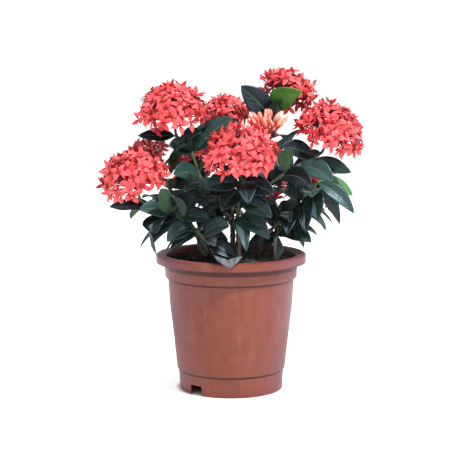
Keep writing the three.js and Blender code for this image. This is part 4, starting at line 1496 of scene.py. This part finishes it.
bloomShape = {
    "areaEach": 122,  # mm2 of the dome for one floret
    "reach": 0.95,  # of the head's radius
    "calyxShare": 0.34,
    "wander": 10,  # degrees that a floret strays from its even place
    "raggedness": 0.08,
    "lobes": 0.11,  # share of the radius that whole tufts stand in or out
    "lobeScale": 2.4,
    "lean": 24,
    "mix": (5, 3, 4),  # open, reflexed and cupped florets
    "sizes": (0.86, 1.06),
    "fullRadius": 40,  # a smaller head than this has smaller florets
    "branches": 9,
    "branchShare": 0.16,
    "branchDip": 3,
    "branchRadii": (1.9, 1.3, 1.0),
    "stalkRadii": (0.85, 0.7),
    "buds": 30,
    "seed": 29,
}


def petalSheet(rows, columns, crease):
    # a narrow grid, drawn out row by row to the petal's outline
    bpy.ops.mesh.primitive_grid_add(x_subdivisions=columns, y_subdivisions=len(rows) - 1, size=1)
    sheet = bpy.context.object

    def drawn(places):
        for i, (x, y, _) in enumerate(places.copy()):
            row = round((y + 0.5) * (len(rows) - 1))
            distance, halfWidth, height = rows[row]
            side = round(2 * x)
            inner = row == 0
            raised = crease if not inner and row < len(rows) - 1 and not side else 0
            places[i] = (halfWidth if inner and side else distance, side * halfWidth, height + raised)
        return places * mm

    return reshaped(sheet, drawn)


def makeFloret(name, rows):
    parts = []
    for quarter in range(4):
        turn = Matrix.Rotation(math.radians(90 * quarter), 4, "Z")
        for columns, crease in ((2, floretShape["crease"]), (1, 0)):
            sheet = petalSheet(rows, columns, crease)
            sheet.data.transform(turn)
            if columns == 2:
                sheet.data.flip_normals()
            parts.append(sheet)
    throat = rows[0][0] * mm
    cones = ((floretShape["dimple"], 0, True), (floretShape["funnel"], floretShape["funnelEnd"], False))
    for depth, end, facesIn in cones:
        # the dimple in the middle, and the funnel under it
        bpy.ops.mesh.primitive_cone_add(
            vertices=floretShape["throatSides"], radius1=throat, radius2=end * mm, depth=depth * mm,
            end_fill_type="NOTHING", location=(0, 0, -depth * mm / 2), rotation=(math.pi, 0, 0),
        )
        parts.append(settled(bpy.context.object))
        if facesIn:
            parts[-1].data.flip_normals()
    thick, thin = floretShape["styleRadii"]
    bpy.ops.mesh.primitive_cone_add(
        vertices=3, radius1=thick * mm, radius2=thin * mm, depth=2 * floretShape["style"] * mm,
        location=(0, 0, 0), end_fill_type="NOTHING",
    )
    parts.append(bpy.context.object)
    star = joined(name, parts)
    bpy.ops.object.mode_set(mode="EDIT")
    bpy.ops.mesh.select_all(action="SELECT")
    bpy.ops.mesh.remove_doubles(threshold=0.06 * mm)
    bpy.ops.object.mode_set(mode="OBJECT")
    far = np.hypot(*placesOf(star)[:, :2].T)
    marked(star, "along", np.clip((far - throat) / (rows[-1][0] * mm - throat), 0.001, 1))
    tube = turnedFrom("tube", [
        (floretShape["calyxRadius"], -1), (floretShape["calyxRadius"] * 0.8, -0.9),
        (floretShape["tubeRadius"], -0.86), (floretShape["tubeRadius"], -0.08),
    ], 4)
    marked(tube, "along", placesOf(tube)[:, 2] / mm)
    return joined(name, [star, tube])


def makeBud():
    bud = turnedFrom("bud", floretShape["budTube"], 5)
    marked(bud, "along", placesOf(bud)[:, 2] / mm)
    tip = turnedFrom("budTip", floretShape["budTip"], 8)
    length = -floretShape["budTip"][0][1] * mm
    marked(tip, "along", np.clip(1 + placesOf(tip)[:, 2] / length, 0.001, 1))
    return joined("bud", [tip, bud])


floretKinds = [makeFloret("floret_" + kind, floretShape[kind]) for kind in ("open", "reflexed", "cupped")]
budMaster = makeBud()
bloomDraw = random.Random(bloomShape["seed"])


def domeDirections(head, count):
    # even directions over the head's dome, from its crown to its edge
    axis = Vector(headAxis(head))
    turn = Vector((0, 0, 1)).rotation_difference(axis).to_matrix()
    edge = math.cos(math.radians(head.get("spread", layout["spread"])))
    golden = math.pi * (3 - math.sqrt(5))
    for i in range(count):
        height = 1 - (i + 0.5) / count * (1 - edge)
        flat = math.sqrt(1 - height**2)
        yield turn @ Vector((flat * math.cos(i * golden), flat * math.sin(i * golden), height))


def strayed(direction, degrees):
    # a direction turned a little, any way
    aside = Vector([bloomDraw.uniform(-1, 1) for _ in range(3)]).cross(direction).normalized()
    return Matrix.Rotation(math.radians(degrees) * bloomDraw.random(), 3, aside) @ direction


def makeHead(shoot):
    head = shoot["head"]
    radius = head["radius"]
    centre = Vector(head["at"])
    axis = Vector(headAxis(head))
    base = centre - axis * layout["coreDepth"]
    spread = math.radians(head.get("spread", layout["spread"]))
    area = 2 * math.pi * radius**2 * (1 - math.cos(spread))
    budding = head.get("buds", False)
    count = bloomShape["buds"] if budding else round(area / bloomShape["areaEach"])
    out = radius * bloomShape["branchShare"]
    branchEnds = [centre + way * out for way in domeDirections(head, bloomShape["branches"])]
    start = base - axis * bloomShape["branchDip"]
    runs = [([start, base * 0.6 + end * 0.4, end], bloomShape["branchRadii"]) for end in branchEnds]
    pieces = []
    for even in domeDirections(head, count):
        direction = strayed(even, bloomShape["wander"])
        tuft = noise.noise(direction * bloomShape["lobeScale"] + centre * 0.1)
        ragged = bloomShape["raggedness"] * bloomDraw.uniform(-1, 0.7)
        reach = radius * (bloomShape["reach"] + ragged + bloomShape["lobes"] * tuft)
        seat = centre + direction * reach
        calyx = centre + direction * radius * bloomShape["calyxShare"]
        branch = min(branchEnds, key=lambda end: (end - calyx).length)
        runs.append(([branch, calyx], bloomShape["stalkRadii"]))
        facing = strayed(direction, bloomShape["lean"])
        turn = Vector((0, 0, 1)).rotation_difference(facing).to_matrix().to_4x4()
        spin = Matrix.Rotation(bloomDraw.uniform(0, 2 * math.pi), 4, "Z")
        size = min(1, radius / bloomShape["fullRadius"]) * bloomDraw.uniform(*bloomShape["sizes"])
        kind = budMaster if budding else bloomDraw.choices(floretKinds, bloomShape["mix"])[0]
        copy = copyOf(kind)
        along = marksOf(copy, "along")
        onTube = along < 0

        def placed(places):
            starred = np.array(turn @ spin @ Matrix.Scale(size, 4))[:3, :3]
            spots = places @ starred.T + np.array(seat) * mm
            share = -along[onTube][:, None]
            aside = places[onTube] * [1, 1, 0] @ starred.T
            way = np.array(calyx - seat) * mm
            spots[onTube] = np.array(seat) * mm + way * share + aside
            return spots

        reshaped(copy, placed)
        marked(copy, "tint", bloomDraw.random())
        pieces.append(copy)
    stalks = tubesThrough("pedicels", runs, sides=6)
    marked(stalks, "along", -1)
    marked(stalks, "tint", 0.5)
    bloom = joined("bloom_" + shoot["name"], [*pieces, stalks])
    bloom.data.materials.clear()
    bloom.data.materials.append(looks["bud" if budding else "petal"])
    smooth(bloom, 50)
    handedIn(bloom, "head_" + shoot["name"])


for shoot in shoots:
    if "head" in shoot:
        makeHead(shoot)
for master in (*floretKinds, budMaster, blade):
    removed(master)
print("flower heads made")

# Floor and light, in metres
floorLook = {"colour": (0.75, 0.75, 0.75), "glow": 0.46, "size": 40}
keyLight = {
    "at": (1.5, -1.35, 2.8), "aim": (0, 0, 0.2), "size": 0.2, "power": 156, "colour": (1.0, 0.98, 0.96),
}
sky = {"colour": (0.985, 0.99, 1.0), "strength": 1.06}


def lightTable(shade):
    # glows faintly all round the pot, and not under it
    far = shade.node("VectorMath", {"operation": "LENGTH"}, {0: shade.place()}, output="Value")
    foot = potShape["foot"]["topRadius"] * mm
    return {
        "Base Color": (*floorLook["colour"], 1),
        "Roughness": 0.9,
        "Specular IOR Level": 0.1,
        "Emission Color": shade.mixed(far.spread(foot, foot * 1.08), (0, 0, 0), (1, 1, 1)),
        "Emission Strength": floorLook["glow"],
    }


def addFloor():
    bpy.ops.mesh.primitive_circle_add(vertices=64, radius=floorLook["size"], fill_type="NGON")
    floor = bpy.context.object
    floor.name = "floor"
    floor.data.materials.append(newMaterial("pale floor", lightTable))


def addLights():
    bpy.ops.object.light_add(type="AREA", location=keyLight["at"])
    lamp = bpy.context.object
    lamp.name = "key"
    lamp.data.shape = "DISK"
    lamp.data.size = keyLight["size"]
    lamp.data.energy = keyLight["power"]
    lamp.data.color = keyLight["colour"]
    aim = Vector(keyLight["aim"]) - lamp.location
    lamp.rotation_euler = aim.to_track_quat("-Z", "Y").to_euler()
    world = bpy.data.worlds.new("studio")
    world.use_nodes = True
    background = world.node_tree.nodes["Background"]
    background.inputs["Color"].default_value = (*sky["colour"], 1)
    background.inputs["Strength"].default_value = sky["strength"]
    bpy.context.scene.world = world
    bpy.context.scene.view_settings.view_transform = "Standard"


addFloor()
addLights()
print("floor and light made")
